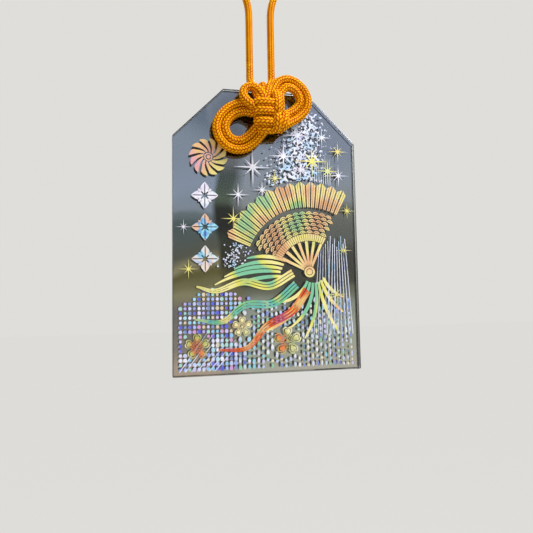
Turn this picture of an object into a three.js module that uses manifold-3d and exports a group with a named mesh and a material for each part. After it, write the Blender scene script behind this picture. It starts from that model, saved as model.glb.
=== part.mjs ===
// An omamori charm: a house-shaped tablet of clear acrylic with a mirror coat
// behind it and holographic foil stamped on its front, hung from one round
// braided cord that passes through the tablet's hole and is tied in a double
// bow knot in front of it.
//
// Millimetres, +Z up. The tablet's front faces -Y. The origin is the place on
// the inside of the hanging loop where a hook or a finger holds the charm.
// Places are written as [x, depth, rise]: x to the right, depth in front of the
// tablet's front face, and rise above the tablet's top edge.

import * as THREE from "three";
import { mergeVertices } from "three/addons/utils/BufferGeometryUtils.js";
import Module from "manifold-3d";

const wasm = await Module();
wasm.setup();

// Driving sizes of the tablet
const tablet = {
  width: 45,
  height: 67.5,
  cornerCut: 12, // how much each top corner loses, along both edges
  sheet: 1.75, // clear acrylic
  backing: 0.25, // mirror coat and its protective paint
  edgeBreak: 0.15, // the sheet's polished edges
  holeRadius: 2.5,
  holeDrop: 5.5, // from the top edge to the hole's centre
};
const thickness = tablet.sheet + tablet.backing;

// Driving sizes of the foil. The artwork is one drawing, scaled to fit the
// tablet, so all but the foil's thickness are shares of the artwork's width.
// Its places are to the right of the tablet's middle and below its top edge.
const foil = { thickness: 0.125 };
const artRatioShare = 1.5; // how much longer than wide the artwork is
const artWidth = Math.min(tablet.width, tablet.height / artRatioShare);

/** Lengths from a table of shares of the artwork's width. */
function inArt(shares) {
  return Object.fromEntries(Object.entries(shares).map(([name, share]) => [name, share * artWidth]));
}

const rosette = inArt({ radius: 0.1, notch: 0.086, eye: 0.019, x: -0.315, drop: 0.375 });
const bladeCount = 12;
const bladeSweepShare = 0.42; // of a blade's own angle, by which its tip leans

// four leaves round a middle: their reach, their width where they meet, and where they stand
const ornament = inArt({ reach: 0.07, waist: 0.0167, x: -0.335 });
const ornamentDrops = inArt({ upper: 0.578, middle: 0.743, lower: 0.908 });
const leafCount = 4;
const leafSwellShare = 0.42; // of a leaf's reach, by which its sides are pulled out

// an open folding fan, from its pivot, and how far its paper reaches in from the rim
const fan = inArt({
  radius: 0.489, paper: 0.322, rib: 0.0156, disc: 0.029, foldDepth: 0.02, x: 0.222, drop: 0.978,
});
const fanFolds = 13;
const fanFrom = THREE.MathUtils.degToRad(62);
const fanTo = THREE.MathUtils.degToRad(158);

// three ribbons that trail from the fan's pivot, each by the points of its middle line
const ribbon = inArt({ width: 0.0444, tip: 0.0089 });
const ribbonSteps = 22;
const ribbonPointShares = {
  upper: [[0.13, 0.983], [0, 1.05], [-0.14, 1.028], [-0.28, 1.073], [-0.38, 1.05]],
  middle: [[0.147, 1.044], [0.02, 1.14], [-0.13, 1.148], [-0.25, 1.23], [-0.39, 1.215]],
  lower: [[0.207, 1.074], [0.12, 1.185], [-0.02, 1.26], [-0.12, 1.365], [-0.27, 1.373]],
};

// three five-petalled blossoms: how far in the notches between their petals are, how far out
// the petals are pulled, then each one's size as a share of the largest and its place
const blossom = inArt({ notch: 0.033, swell: 0.104 });
const petalCount = 5;
const petalLeanShare = 0.4; // of a petal's own angle, by which its sides lean out
const blossomShares = [[1, 0.093, 1.338], [0.7, -0.147, 1.258], [0.85, -0.378, 1.351]];

// a head from which thin rays spread downwards
const comb = inArt({
  width: 0.0933, head: 0.0267, spread: 0.1667, length: 0.533, ray: 0.0062, rayTip: 0.0031,
  x: 0.385, drop: 0.78,
});
const rayCount = 8;

// sparkles: the largest one's upright, slanting and inner reach, then each one's size
// as a share of the largest, its foil and its place
const star = inArt({ long: 0.105, slant: 0.064, waist: 0.0062 });
const starShares = [
  [1, "silverFoil", -0.08, 0.42], [0.8, "silverFoil", 0.09, 0.353], [0.95, "goldFoil", 0.25, 0.375],
  [0.62, "silverFoil", 0.4, 0.45], [0.55, "goldFoil", 0.4, 0.315], [0.6, "silverFoil", -0.16, 0.57],
  [0.45, "goldFoil", 0.04, 0.477], [0.5, "goldFoil", -0.42, 0.96],
];

// Driving sizes of the cord
const cord = {
  diameter: 1.75, // where it is pulled straight
  slackDiameter: 1.95, // where it is bent and spreads
  gap: 0.3, // what it keeps to whatever it passes
  sides: 8,
  step: 0.85, // along the knot
  coarseStep: 1.3, // along the hanging loop
};
const cordRadius = cord.diameter / 2;
const slackRadius = cord.slackDiameter / 2;
const loop = {
  leftX: -3.8,
  rightX: 1.6,
  depth: -0.8, // over the middle of the whole charm's weight
  twistRise: 9, // where the charm turns about the upright
  swingRise: 3.6, // where it swings
};
const middleX = (loop.leftX + loop.rightX) / 2;
const loopEndRise = loop.twistRise + cord.gap / 2;
const rootRise = loop.swingRise - cord.gap / 2 - cordRadius;

// The cord's routes, chosen by hand, each point an [x, depth, rise]
const loopRoute = [
  [loop.leftX, loop.depth, loopEndRise], [-3.8, -0.8, 12], [-3.8, -0.8, 15], [-3.8, -0.8, 18],
  [-3.9, -0.8, 20.6], [-4.25, -0.8, 22.6], [-4.7, -0.8, 24.4], [-4.22, -0.8, 26.2], [-2.9, -0.8, 27.52],
  [-1.1, -0.8, 28], [0.7, -0.8, 27.52], [2.02, -0.8, 26.2], [2.5, -0.8, 24.4], [2.05, -0.8, 22.6],
  [1.7, -0.8, 20.6], [1.6, -0.8, 18], [1.6, -0.8, 15], [1.6, -0.8, 12],
  [loop.rightX, loop.depth, loopEndRise],
];
// the two ends of the hanging loop, down into the knot
const rootRoutes = {
  left: [
    [loop.leftX, loop.depth, rootRise], [-3.7, -0.4, 2.1], [-3.5, 0.9, 0.9], [-3.15, 1.8, -0.5],
    [-2.55, 3, -2.6], [-1.4, 3.4, -4.3],
  ],
  right: [
    [loop.rightX, loop.depth, rootRise], [1.3, -0.2, 2.1], [0.75, 1.4, 1.2], [0.1, 2.8, -0.2],
    [-0.5, 3.5, -2.2], [-1.1, 3.5, -4.3],
  ],
};
const knotRoutes = {
  // the small ring at the upper left
  ring: [
    [-1, 3.4, -3.9], [-1.65, 3.4, -2.2], [-2.55, 3.2, -0.85], [-4.05, 2.8, 0], [-5.6, 2.6, -0.55],
    [-6.2, 2.8, -1.85], [-5.8, 3.4, -3.35], [-4.8, 4, -4.55], [-3.6, 4, -5.4], [-2, 3.4, -6],
  ],
  // each ear is two turns of the cord, side by side
  leftEarOuter: [
    [-1.6, 3.4, -4.9], [-4, 2.7, -4.4], [-6.1, 1.9, -3.9], [-8.1, 1.45, -4.35], [-10.25, 1.35, -5.8],
    [-11.8, 1.35, -7.8], [-12.35, 1.35, -10.1], [-11.6, 1.35, -12.6], [-10, 1.35, -14.35],
    [-8, 1.35, -15.1], [-5.6, 1.45, -14.8], [-3.4, 1.85, -13.35], [-1.9, 2.5, -11.6], [-0.4, 3.4, -9.7],
  ],
  leftEarInner: [
    [-1.7, 3.4, -6.8], [-4.1, 2.7, -6.4], [-6.1, 1.95, -6], [-8, 1.45, -6.65], [-9.55, 1.35, -8.05],
    [-10.25, 1.35, -9.7], [-9.95, 1.35, -11.3], [-8.9, 1.35, -12.55], [-6.75, 1.35, -12.9],
    [-4.65, 1.75, -11.6], [-3.15, 2.45, -10], [-1.5, 3.4, -8.3],
  ],
  rightEarOuter: [
    [0.3, 3.4, -2.4], [1.2, 3, -0.25], [2.4, 2.6, 1.55], [4.6, 2.4, 2.5], [7, 2.2, 1.95],
    [9, 2, 0.2], [10, 1.8, -2], [9.65, 1.65, -4.25], [7.9, 1.6, -6.4], [5.3, 2, -8.1],
    [2.5, 2.8, -9.75], [0.3, 3.4, -10.4],
  ],
  rightEarInner: [
    [1.9, 3.4, -2.9], [2.9, 2.95, -1.1], [4.5, 2.65, 0.4], [6.35, 2.4, 0.05], [7.6, 2.1, -1.3],
    [7.85, 1.8, -3], [6.5, 1.7, -4.8], [4.3, 2.15, -6.2], [1.85, 3.4, -7.8],
  ],
  // the strands that cross the middle of the knot in front
  topUpper: [
    [-3.5, 3.4, -4.4], [-2.9, 4.9, -4.5], [-1.4, 5.5, -4.55], [0.2, 5.2, -4.5], [1.4, 3.8, -4.3],
  ],
  topLower: [
    [-3.5, 3.4, -6.2], [-2.9, 4.9, -6.4], [-1.4, 5.35, -6.5], [0.2, 5, -6.4], [1.4, 3.8, -6.1],
  ],
  sideLeft: [[1.5, 3.4, -1.3], [1.45, 4.9, -3], [1.4, 5.6, -4.8], [1.35, 5.2, -6.3], [1.3, 3.9, -7]],
  sideRight: [[2.6, 3.2, -1.6], [2.45, 4.1, -3], [2.4, 4.4, -4.7], [2.4, 4.1, -6.1], [2.5, 3.2, -6.9]],
  lowUpper: [
    [-3.3, 3.2, -8.5], [-2.7, 4.5, -8.8], [-1.3, 5, -8.95], [0.1, 4.6, -8.9], [1.3, 3.4, -8.6],
  ],
  lowLower: [
    [-2.6, 2.8, -10.2], [-1.9, 3.5, -10.5], [-0.9, 3.8, -10.6], [0.2, 3.5, -10.5], [1.2, 2.8, -10.2],
  ],
  footLeft: [[1.4, 3.6, -6.3], [1.5, 5, -7.4], [1.5, 5.3, -8.8], [1.45, 4.6, -10], [1.3, 3, -10.7]],
  footRight: [[3.7, 3.2, -6.2], [3.55, 4.3, -7.5], [3.2, 4.6, -8.85], [2.7, 4, -10], [2, 2.9, -10.7]],
};
// the two legs that hold the tablet, side by side in its hole
const legs = {
  leftX: -0.85,
  rightX: 1,
  lift: 0.35, // above the hole's centre
  rootDepth: 3.4, // where they are tied into the knot
  bend: 1.3,
  frontRise: 0.15, // where they turn down in front, above the top edge
  frontDepth: 1.75,
  endRise: -3,
};

const hookRise = Math.max(...loopRoute.map(([, , rise]) => rise)) - cordRadius;
const origin = [middleX, loop.depth, hookRise];

/** A place in the part's own frame, from an [x, depth, rise]. */
function place([x, depth, rise]) {
  return new THREE.Vector3(x - origin[0], origin[1] - depth, rise - origin[2]);
}

/** Turns a drawing's x and y into X and Z, and what it is extruded along into -Y. */
const standing = new THREE.Matrix4().set(1, 0, 0, 0, 0, 0, -1, 0, 0, 1, 0, 0, 0, 0, 0, 1);

const weld = 1e-5; // vertices closer than this are one
const sliver = 0.01; // edges shorter than this are closed up

/** A closed solid of a geometry, with its shared vertices merged. */
function solid(geometry) {
  const bare = new THREE.BufferGeometry().setAttribute("position", geometry.getAttribute("position"));
  if (geometry.index) bare.setIndex(geometry.index);
  const merged = mergeVertices(bare, weld);
  return new wasm.Manifold(
    new wasm.Mesh({
      numProp: 3,
      vertProperties: new Float32Array(merged.getAttribute("position").array),
      triVerts: new Uint32Array(merged.index.array),
    }),
  );
}

/** The geometry of a solid. */
function geometryOf(body) {
  const mesh = body.getMesh();
  const geometry = new THREE.BufferGeometry();
  geometry.setAttribute("position", new THREE.BufferAttribute(mesh.vertProperties, 3));
  geometry.setIndex(new THREE.BufferAttribute(mesh.triVerts, 1));
  geometry.computeVertexNormals();
  return geometry;
}

/** Several geometries joined in one, without the slivers that their crossings leave. */
function joined(geometries) {
  const whole = geometries.map(solid).reduce((sum, piece) => sum.add(piece));
  return geometryOf(whole.simplify(sliver));
}

/** A drawing made into a plate of that thickness, whose rear face is at a depth of zero. */
function plate(shape, thick) {
  const geometry = new THREE.ExtrudeGeometry(shape, { depth: thick, bevelEnabled: false });
  return geometry.applyMatrix4(standing);
}

/** The cord's section, round, of that radius. */
function cordSection(radius) {
  const section = new THREE.Shape();
  for (let i = 0; i < cord.sides; i++) {
    const angle = (i * 2 * Math.PI) / cord.sides;
    if (i === 0) section.moveTo(...polar(radius, angle));
    else section.lineTo(...polar(radius, angle));
  }
  section.closePath();
  return section;
}

/** A stretch of cord of that radius along a route. */
function cordAlong(route, radius, step) {
  const curve = new THREE.CatmullRomCurve3(route.map(place), false, "centripetal");
  const steps = Math.ceil(curve.getLength() / step);
  return new THREE.ExtrudeGeometry(cordSection(radius), { steps, bevelEnabled: false, extrudePath: curve });
}

/** A round end for the cord, with its middle at a place. */
function roundEnd(at) {
  const ball = new THREE.SphereGeometry(cordRadius, cord.sides, cord.sides - 2);
  return ball.translate(...place(at).toArray());
}

/** The tablet's outline, drawn in x and rise, inset by a distance, with its hole. */
function tabletShape(inset) {
  const half = tablet.width / 2 - inset;
  const top = -inset;
  const bottom = inset - tablet.height;
  // a 45 degree side that moves in by the inset moves along the edges by this much less
  const cut = tablet.cornerCut - inset * (2 - Math.SQRT2);
  const shape = new THREE.Shape();
  shape.moveTo(-half, bottom);
  shape.lineTo(half, bottom);
  shape.lineTo(half, top - cut);
  shape.lineTo(half - cut, top);
  shape.lineTo(cut - half, top);
  shape.lineTo(-half, top - cut);
  shape.closePath();
  const hole = new THREE.Path();
  hole.absarc(0, -tablet.holeDrop, tablet.holeRadius + inset, 0, 2 * Math.PI, true);
  shape.holes.push(hole);
  return shape;
}

/** The clear sheet, with every edge broken. */
function sheetGeometry() {
  const geometry = new THREE.ExtrudeGeometry(tabletShape(0), {
    depth: tablet.sheet - 2 * tablet.edgeBreak,
    curveSegments: 16,
    bevelThickness: tablet.edgeBreak,
    bevelSize: tablet.edgeBreak,
    bevelOffset: -tablet.edgeBreak,
    bevelSegments: 1,
  });
  return geometry.applyMatrix4(standing).translate(0, tablet.sheet - tablet.edgeBreak, 0);
}

/** The mirror coat, inside the broken edge of the sheet. */
function backingGeometry() {
  return plate(tabletShape(tablet.edgeBreak), tablet.backing).translate(0, thickness, 0);
}

/** A point of a drawing, at a distance and an angle from its middle. */
function polar(radius, angle) {
  return [radius * Math.cos(angle), radius * Math.sin(angle)];
}

/** A pinwheel of curved blades round an open eye. */
function rosetteShape() {
  const shape = new THREE.Shape();
  const turn = (2 * Math.PI) / bladeCount;
  shape.moveTo(...polar(rosette.notch, 0));
  for (let i = 0; i < bladeCount; i++) {
    const start = i * turn;
    const tip = start + turn * (1 / 2 + bladeSweepShare);
    const swell = start + (turn * bladeSweepShare) / 2;
    shape.quadraticCurveTo(...polar(rosette.radius, swell), ...polar(rosette.radius, tip));
    if (i < bladeCount - 1) shape.lineTo(...polar(rosette.notch, start + turn));
  }
  shape.closePath();
  const eye = new THREE.Path();
  eye.absarc(0, 0, rosette.eye, 0, 2 * Math.PI, true);
  shape.holes.push(eye);
  return shape;
}

/** A flower of pointed leaves. */
function ornamentShape() {
  const shape = new THREE.Shape();
  const turn = (2 * Math.PI) / leafCount;
  const side = ornament.waist;
  const swell = leafSwellShare * ornament.reach;
  const at = (along, across, angle) => [
    along * Math.cos(angle) - across * Math.sin(angle),
    along * Math.sin(angle) + across * Math.cos(angle),
  ];
  shape.moveTo(...at(side / 2, -side / 2, 0));
  for (let i = 0; i < leafCount; i++) {
    const angle = i * turn;
    shape.quadraticCurveTo(...at(ornament.reach / 2, -swell, angle), ...at(ornament.reach, 0, angle));
    shape.quadraticCurveTo(...at(ornament.reach / 2, swell, angle), ...at(side / 2, side / 2, angle));
  }
  return shape;
}

/** A blossom of that share of the largest one's size. */
function blossomShape(sizeShare) {
  const shape = new THREE.Shape();
  const turn = (2 * Math.PI) / petalCount;
  const at = (radius, angle) => polar(sizeShare * radius, angle + Math.PI / 2);
  shape.moveTo(...at(blossom.notch, -turn / 2));
  for (let i = 0; i < petalCount; i++) {
    const middle = i * turn;
    const lean = turn * petalLeanShare;
    shape.bezierCurveTo(
      ...at(blossom.swell, middle - lean), ...at(blossom.swell, middle + lean),
      ...at(blossom.notch, middle + turn / 2),
    );
  }
  return shape;
}

/** An open folding fan: its paper, its ribs and the disc at its pivot. */
function fanGeometry() {
  const inner = fan.radius - fan.paper;
  const fold = (fanTo - fanFrom) / fanFolds;
  const paper = new THREE.Shape();
  paper.moveTo(...polar(inner, fanFrom));
  for (let i = 0; i < fanFolds; i++) {
    const start = fanFrom + i * fold;
    paper.lineTo(...polar(fan.radius - fan.foldDepth, start));
    paper.lineTo(...polar(fan.radius, start + fold / 2));
  }
  paper.lineTo(...polar(fan.radius - fan.foldDepth, fanTo));
  paper.absarc(0, 0, inner, fanTo, fanFrom, true);
  const disc = new THREE.Shape().absarc(0, 0, fan.disc, 0, 2 * Math.PI, false);
  const pieces = [plate(paper, foil.thickness), plate(disc, foil.thickness)];
  for (let i = 0; i < fanFolds; i += 2) {
    const angle = fanFrom + (i + 1 / 2) * fold;
    const rib = new THREE.BoxGeometry(inner + fan.rib, foil.thickness, fan.rib);
    rib.translate((inner + fan.rib) / 2, -foil.thickness / 2, 0).rotateY(-angle);
    pieces.push(rib);
  }
  return joined(pieces);
}

/** A ribbon along the curve through some points, which narrows to its tip. */
function ribbonShape(points) {
  const curve = new THREE.SplineCurve(points.map(([x, drop]) => new THREE.Vector2(x, -drop)));
  const left = [];
  const right = [];
  for (let i = 0; i <= ribbonSteps; i++) {
    const share = i / ribbonSteps;
    const point = curve.getPoint(share);
    const way = curve.getTangent(share);
    const half = THREE.MathUtils.lerp(ribbon.width, ribbon.tip, share * share) / 2;
    left.push(new THREE.Vector2(point.x - way.y * half, point.y + way.x * half));
    right.unshift(new THREE.Vector2(point.x + way.y * half, point.y - way.x * half));
  }
  return new THREE.Shape([...left, ...right]);
}

/** A head from which thin rays spread downwards. */
function combShape() {
  const shape = new THREE.Shape();
  shape.moveTo(-comb.width / 2, 0);
  for (let i = 0; i < rayCount; i++) {
    const share = (i + 1 / 2) / rayCount - 1 / 2;
    const top = share * comb.width;
    const low = share * comb.spread;
    shape.lineTo(top - comb.ray / 2, -comb.head);
    shape.lineTo(low - comb.rayTip / 2, -comb.length);
    shape.lineTo(low + comb.rayTip / 2, -comb.length);
    shape.lineTo(top + comb.ray / 2, -comb.head);
  }
  shape.lineTo(comb.width / 2, 0);
  shape.closePath();
  return shape;
}

/** A sparkle with four long arms and four short ones between them. */
function starShape(sizeShare) {
  const shape = new THREE.Shape();
  for (let i = 0; i < 16; i++) {
    const arm = i % 4 === 0 ? star.long : star.slant;
    const radius = sizeShare * (i % 2 === 0 ? arm : star.waist);
    const angle = (i * Math.PI) / 8;
    if (i === 0) shape.moveTo(...polar(radius, angle));
    else shape.lineTo(...polar(radius, angle));
  }
  shape.closePath();
  return shape;
}

/** The way of one leg: out of the knot, through the hole, up the back and over the top edge. */
function legRoute(x) {
  const hole = legs.lift - tablet.holeDrop;
  const behind = -(thickness + cord.gap + slackRadius);
  const over = cord.gap + slackRadius;
  const corner = legs.bend * (1 - Math.SQRT1_2);
  return [
    [x, legs.rootDepth, hole],
    [x, legs.rootDepth / 2, hole],
    [x, 0, hole],
    [x, behind + legs.bend, hole],
    [x, behind + corner, hole + corner],
    [x, behind, hole + legs.bend],
    [x, behind, over - legs.bend],
    [x, behind + corner / 2, over - corner],
    [x, behind + legs.bend, over],
    [x, legs.frontDepth - legs.bend, over],
    [x, legs.frontDepth, legs.frontRise],
    [x, (legs.frontDepth + legs.rootDepth) / 2, (legs.frontRise + legs.endRise) / 2],
    [x, legs.rootDepth, legs.endRise],
  ];
}

/** The tied knot with both its ears, its ring and the tablet's legs: one piece of cord. */
function knotGeometry() {
  const turns = [...Object.values(knotRoutes), legRoute(legs.leftX), legRoute(legs.rightX)];
  return joined([
    ...Object.values(rootRoutes).map((route) => cordAlong(route, cordRadius, cord.step)),
    ...Object.values(rootRoutes).map((route) => roundEnd(route[0])),
    ...turns.map((route) => cordAlong(route, slackRadius, cord.step)),
  ]);
}

/** A short straight strand under the hanging loop, flat above and round below. */
function neckGeometry(x) {
  const top = loop.twistRise - cord.gap / 2;
  const tip = loop.swingRise + cord.gap / 2;
  const profile = [new THREE.Vector2(0, tip)];
  for (let i = 1; i < cord.sides; i++) {
    const angle = (i * Math.PI) / 2 / cord.sides;
    profile.push(new THREE.Vector2(cordRadius * Math.sin(angle), tip + cordRadius * (1 - Math.cos(angle))));
  }
  profile.push(new THREE.Vector2(cordRadius, tip + cordRadius), new THREE.Vector2(cordRadius, top));
  profile.push(new THREE.Vector2(0, top));
  const geometry = new THREE.LatheGeometry(profile, 2 * cord.sides);
  return geometry.rotateX(Math.PI / 2).translate(...place([x, loop.depth, 0]).toArray());
}

const materials = {
  acrylic: { color: 0xd9e2e8, roughness: 0.06, metalness: 0, transparent: true, opacity: 0.35 },
  mirror: { color: 0x8f97a2, roughness: 0.08, metalness: 1 },
  goldFoil: { color: 0xe0c070, roughness: 0.28, metalness: 0.7 },
  peachFoil: { color: 0xf0c896, roughness: 0.28, metalness: 0.6 },
  greenFoil: { color: 0x8fbf8c, roughness: 0.3, metalness: 0.6 },
  orangeFoil: { color: 0xe07a3c, roughness: 0.3, metalness: 0.6 },
  silverFoil: { color: 0xe4e4f0, roughness: 0.25, metalness: 0.6 },
  cord: { color: 0xe6930c, roughness: 0.85, metalness: 0 },
};

const charm = new THREE.Group();
const tabletGroup = new THREE.Group();
tabletGroup.position.copy(place([0, 0, 0]));
charm.add(tabletGroup);

/** Adds a named piece to a group, in one of the materials. */
function add(group, name, geometry, material, x = 0, rise = 0) {
  const mesh = new THREE.Mesh(geometry, new THREE.MeshStandardMaterial(materials[material]));
  mesh.name = name;
  mesh.position.set(x, 0, rise);
  group.add(mesh);
}

/** Adds a flat piece of foil at its place on the tablet. */
function addFoil(name, shape, material, x = 0, drop = 0) {
  add(tabletGroup, name, plate(shape, foil.thickness), material, x, -drop);
}

add(tabletGroup, "acrylic_sheet", sheetGeometry(), "acrylic");
add(tabletGroup, "mirror_backing", backingGeometry(), "mirror");

addFoil("foil_rosette", rosetteShape(), "peachFoil", rosette.x, rosette.drop);
for (const [which, drop] of Object.entries(ornamentDrops)) {
  addFoil("foil_ornament_" + which, ornamentShape(), "silverFoil", ornament.x, drop);
}
add(tabletGroup, "foil_fan", fanGeometry(), "goldFoil", fan.x, -fan.drop);

const ribbonFoils = { upper: "goldFoil", middle: "greenFoil", lower: "orangeFoil" };
for (const [which, shares] of Object.entries(ribbonPointShares)) {
  const points = shares.map(([x, drop]) => [x * artWidth, drop * artWidth]);
  addFoil("foil_ribbon_" + which, ribbonShape(points), ribbonFoils[which]);
}

blossomShares.forEach(([sizeShare, x, drop], i) => {
  addFoil("foil_blossom_" + (i + 1), blossomShape(sizeShare), "peachFoil", x * artWidth, drop * artWidth);
});
addFoil("foil_ray_comb", combShape(), "silverFoil", comb.x, comb.drop);
starShares.forEach(([sizeShare, material, x, drop], i) => {
  addFoil("foil_star_" + (i + 1), starShape(sizeShare), material, x * artWidth, drop * artWidth);
});

add(charm, "hanging_loop", cordAlong(loopRoute, cordRadius, cord.coarseStep), "cord");
add(charm, "neck_strand_left", neckGeometry(loop.leftX), "cord");
add(charm, "neck_strand_right", neckGeometry(loop.rightX), "cord");
add(charm, "tied_knot", knotGeometry(), "cord");

export default charm;
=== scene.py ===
"""The looks of an omamori charm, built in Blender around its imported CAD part.

A house-shaped tablet of clear acrylic, with a mirror coat behind it and
holographic foil on its front, hangs from one braided cord that is tied in a
double bow knot. Places are written as (x, depth, rise) in millimetres, as in
the part's source: x to the right of the tablet's middle, depth in front of its
front face, and rise above its top edge. A flat place is an (x, rise). Angles
are anticlockwise from the right, and in radians where no name says degrees.
"""

from __future__ import annotations

import logging
import math
import random
from dataclasses import dataclass, field
from enum import Enum
from typing import Sequence

import bmesh
import bpy
import numpy as np
from mathutils import Euler, Matrix, Vector, noise

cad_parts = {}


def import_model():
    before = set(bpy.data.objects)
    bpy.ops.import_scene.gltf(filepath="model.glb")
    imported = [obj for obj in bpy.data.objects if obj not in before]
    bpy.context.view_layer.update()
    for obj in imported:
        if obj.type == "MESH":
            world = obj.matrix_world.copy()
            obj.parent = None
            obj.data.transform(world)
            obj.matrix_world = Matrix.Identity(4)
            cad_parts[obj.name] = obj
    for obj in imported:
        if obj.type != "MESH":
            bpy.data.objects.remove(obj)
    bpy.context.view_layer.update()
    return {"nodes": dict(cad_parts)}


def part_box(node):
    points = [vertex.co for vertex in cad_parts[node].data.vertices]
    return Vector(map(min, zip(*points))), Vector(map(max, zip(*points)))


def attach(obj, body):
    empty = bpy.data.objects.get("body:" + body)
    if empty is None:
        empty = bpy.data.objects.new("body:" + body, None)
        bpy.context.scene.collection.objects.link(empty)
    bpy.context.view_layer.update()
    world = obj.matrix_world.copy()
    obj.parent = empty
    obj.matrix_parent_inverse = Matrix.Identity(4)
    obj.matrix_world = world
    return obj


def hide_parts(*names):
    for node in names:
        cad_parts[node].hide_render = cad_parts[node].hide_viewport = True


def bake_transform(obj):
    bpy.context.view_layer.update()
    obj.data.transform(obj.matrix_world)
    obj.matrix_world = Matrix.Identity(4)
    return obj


Place = tuple[float, float, float]
Flat = tuple[float, float]
Colour = tuple[float, float, float]
Stops = Sequence[tuple[float, Colour]]
Socket = bpy.types.NodeSocket
Material = bpy.types.Material
Piece = bpy.types.Object

LOG = logging.getLogger("omamori_charm")
MM = 0.001
TABLET_HEIGHT = 67.5
FOIL_THICKNESS = 0.125

# The shared frame's origin, inside the hanging loop's top, as an (x, depth, rise).
ORIGIN: Place = (-1.1, -0.8, 27.125)


def place(x: float, depth: float, rise: float) -> Vector:
    """A place in the shared frame, in metres, from millimetres on the tablet."""
    return Vector((x - ORIGIN[0], ORIGIN[1] - depth, rise - ORIGIN[2])) * MM


def on_tablet(spot: Sequence[float]) -> Flat:
    """A flat place on the tablet, from a place in the shared frame."""
    return spot[0] / MM + ORIGIN[0], spot[2] / MM + ORIGIN[2]


def around(middle: Flat, radius: float, angle: float) -> Flat:
    """A flat place at a distance and an angle from a middle."""
    return middle[0] + radius * math.cos(angle), middle[1] + radius * math.sin(angle)


def beside(start: Flat, way: float, along: float, aside: float) -> Flat:
    """A flat place so far along a way from a start, and so far to its left."""
    return around(around(start, along, way), aside, way + math.pi / 2)


def between(first: Flat, last: Flat, share: float) -> Flat:
    """A flat place at a share of the way from a first one to a last one."""
    return first[0] + (last[0] - first[0]) * share, first[1] + (last[1] - first[1]) * share


def flowing(points: Sequence[Flat], steps: int) -> list[Flat]:
    """Draws a smooth curve through some flat places.

    Args:
        points: the places.
        steps: how many stretches the curve gets.

    Returns:
        The places along it, at even shares of its spans.
    """
    track = [np.array(point, float) for point in points]
    track = [2 * track[0] - track[1], *track, 2 * track[-1] - track[-2]]
    spans = len(points) - 1
    curve = []
    for i in range(steps + 1):
        share = i / steps * spans
        span = min(int(share), spans - 1)
        t = share - span
        a, b, c, d = track[span: span + 4]
        bend = (2 * a - 5 * b + 4 * c - d) * t**2 + (3 * b - a - 3 * c + d) * t**3
        curve.append(tuple(0.5 * (2 * b + (c - a) * t + bend)))
    return curve


def srgb(red: int, green: int, blue: int) -> Colour:
    """Turns an 8-bit screen colour into a scene-linear one.

    Args:
        red: its red, from 0 to 255.
        green: its green.
        blue: its blue.

    Returns:
        The colour that a shader takes.
    """
    shares = [value / 255 for value in (red, green, blue)]
    return tuple(
        share / 12.92 if share <= 0.04045 else ((share + 0.055) / 1.055) ** 2.4 for share in shares
    )


def shades(*screens: tuple[int, int, int]) -> tuple[Colour, ...]:
    """Scene-linear colours, from 8-bit screen colours."""
    return tuple(srgb(*screen) for screen in screens)


def tones(*rows: tuple[float, int, int, int]) -> Stops:
    """Stops up the tablet, each from a rise and an 8-bit screen colour."""
    return tuple((rise, srgb(*screen)) for rise, *screen in rows)


def up_tablet(stops: Stops) -> Stops:
    """The same stops, with each rise as a share of the tablet's height."""
    return [((rise + TABLET_HEIGHT) / TABLET_HEIGHT, tone) for rise, tone in stops]


class Body(Enum):
    """The CAD bodies that the pieces ride on."""

    LOOP = "loop"
    NECK = "neck"
    KNOT = "knot"
    TABLET = "tablet"


class Slot(Enum):
    """Names of the material slots."""

    ACRYLIC = "acrylic"
    MIRROR = "mirror"
    GOLD = "gold_foil"
    PEACH = "peach_foil"
    GREEN = "green_foil"
    ORANGE = "orange_foil"
    SILVER = "silver_foil"
    CORD = "cord"


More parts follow.
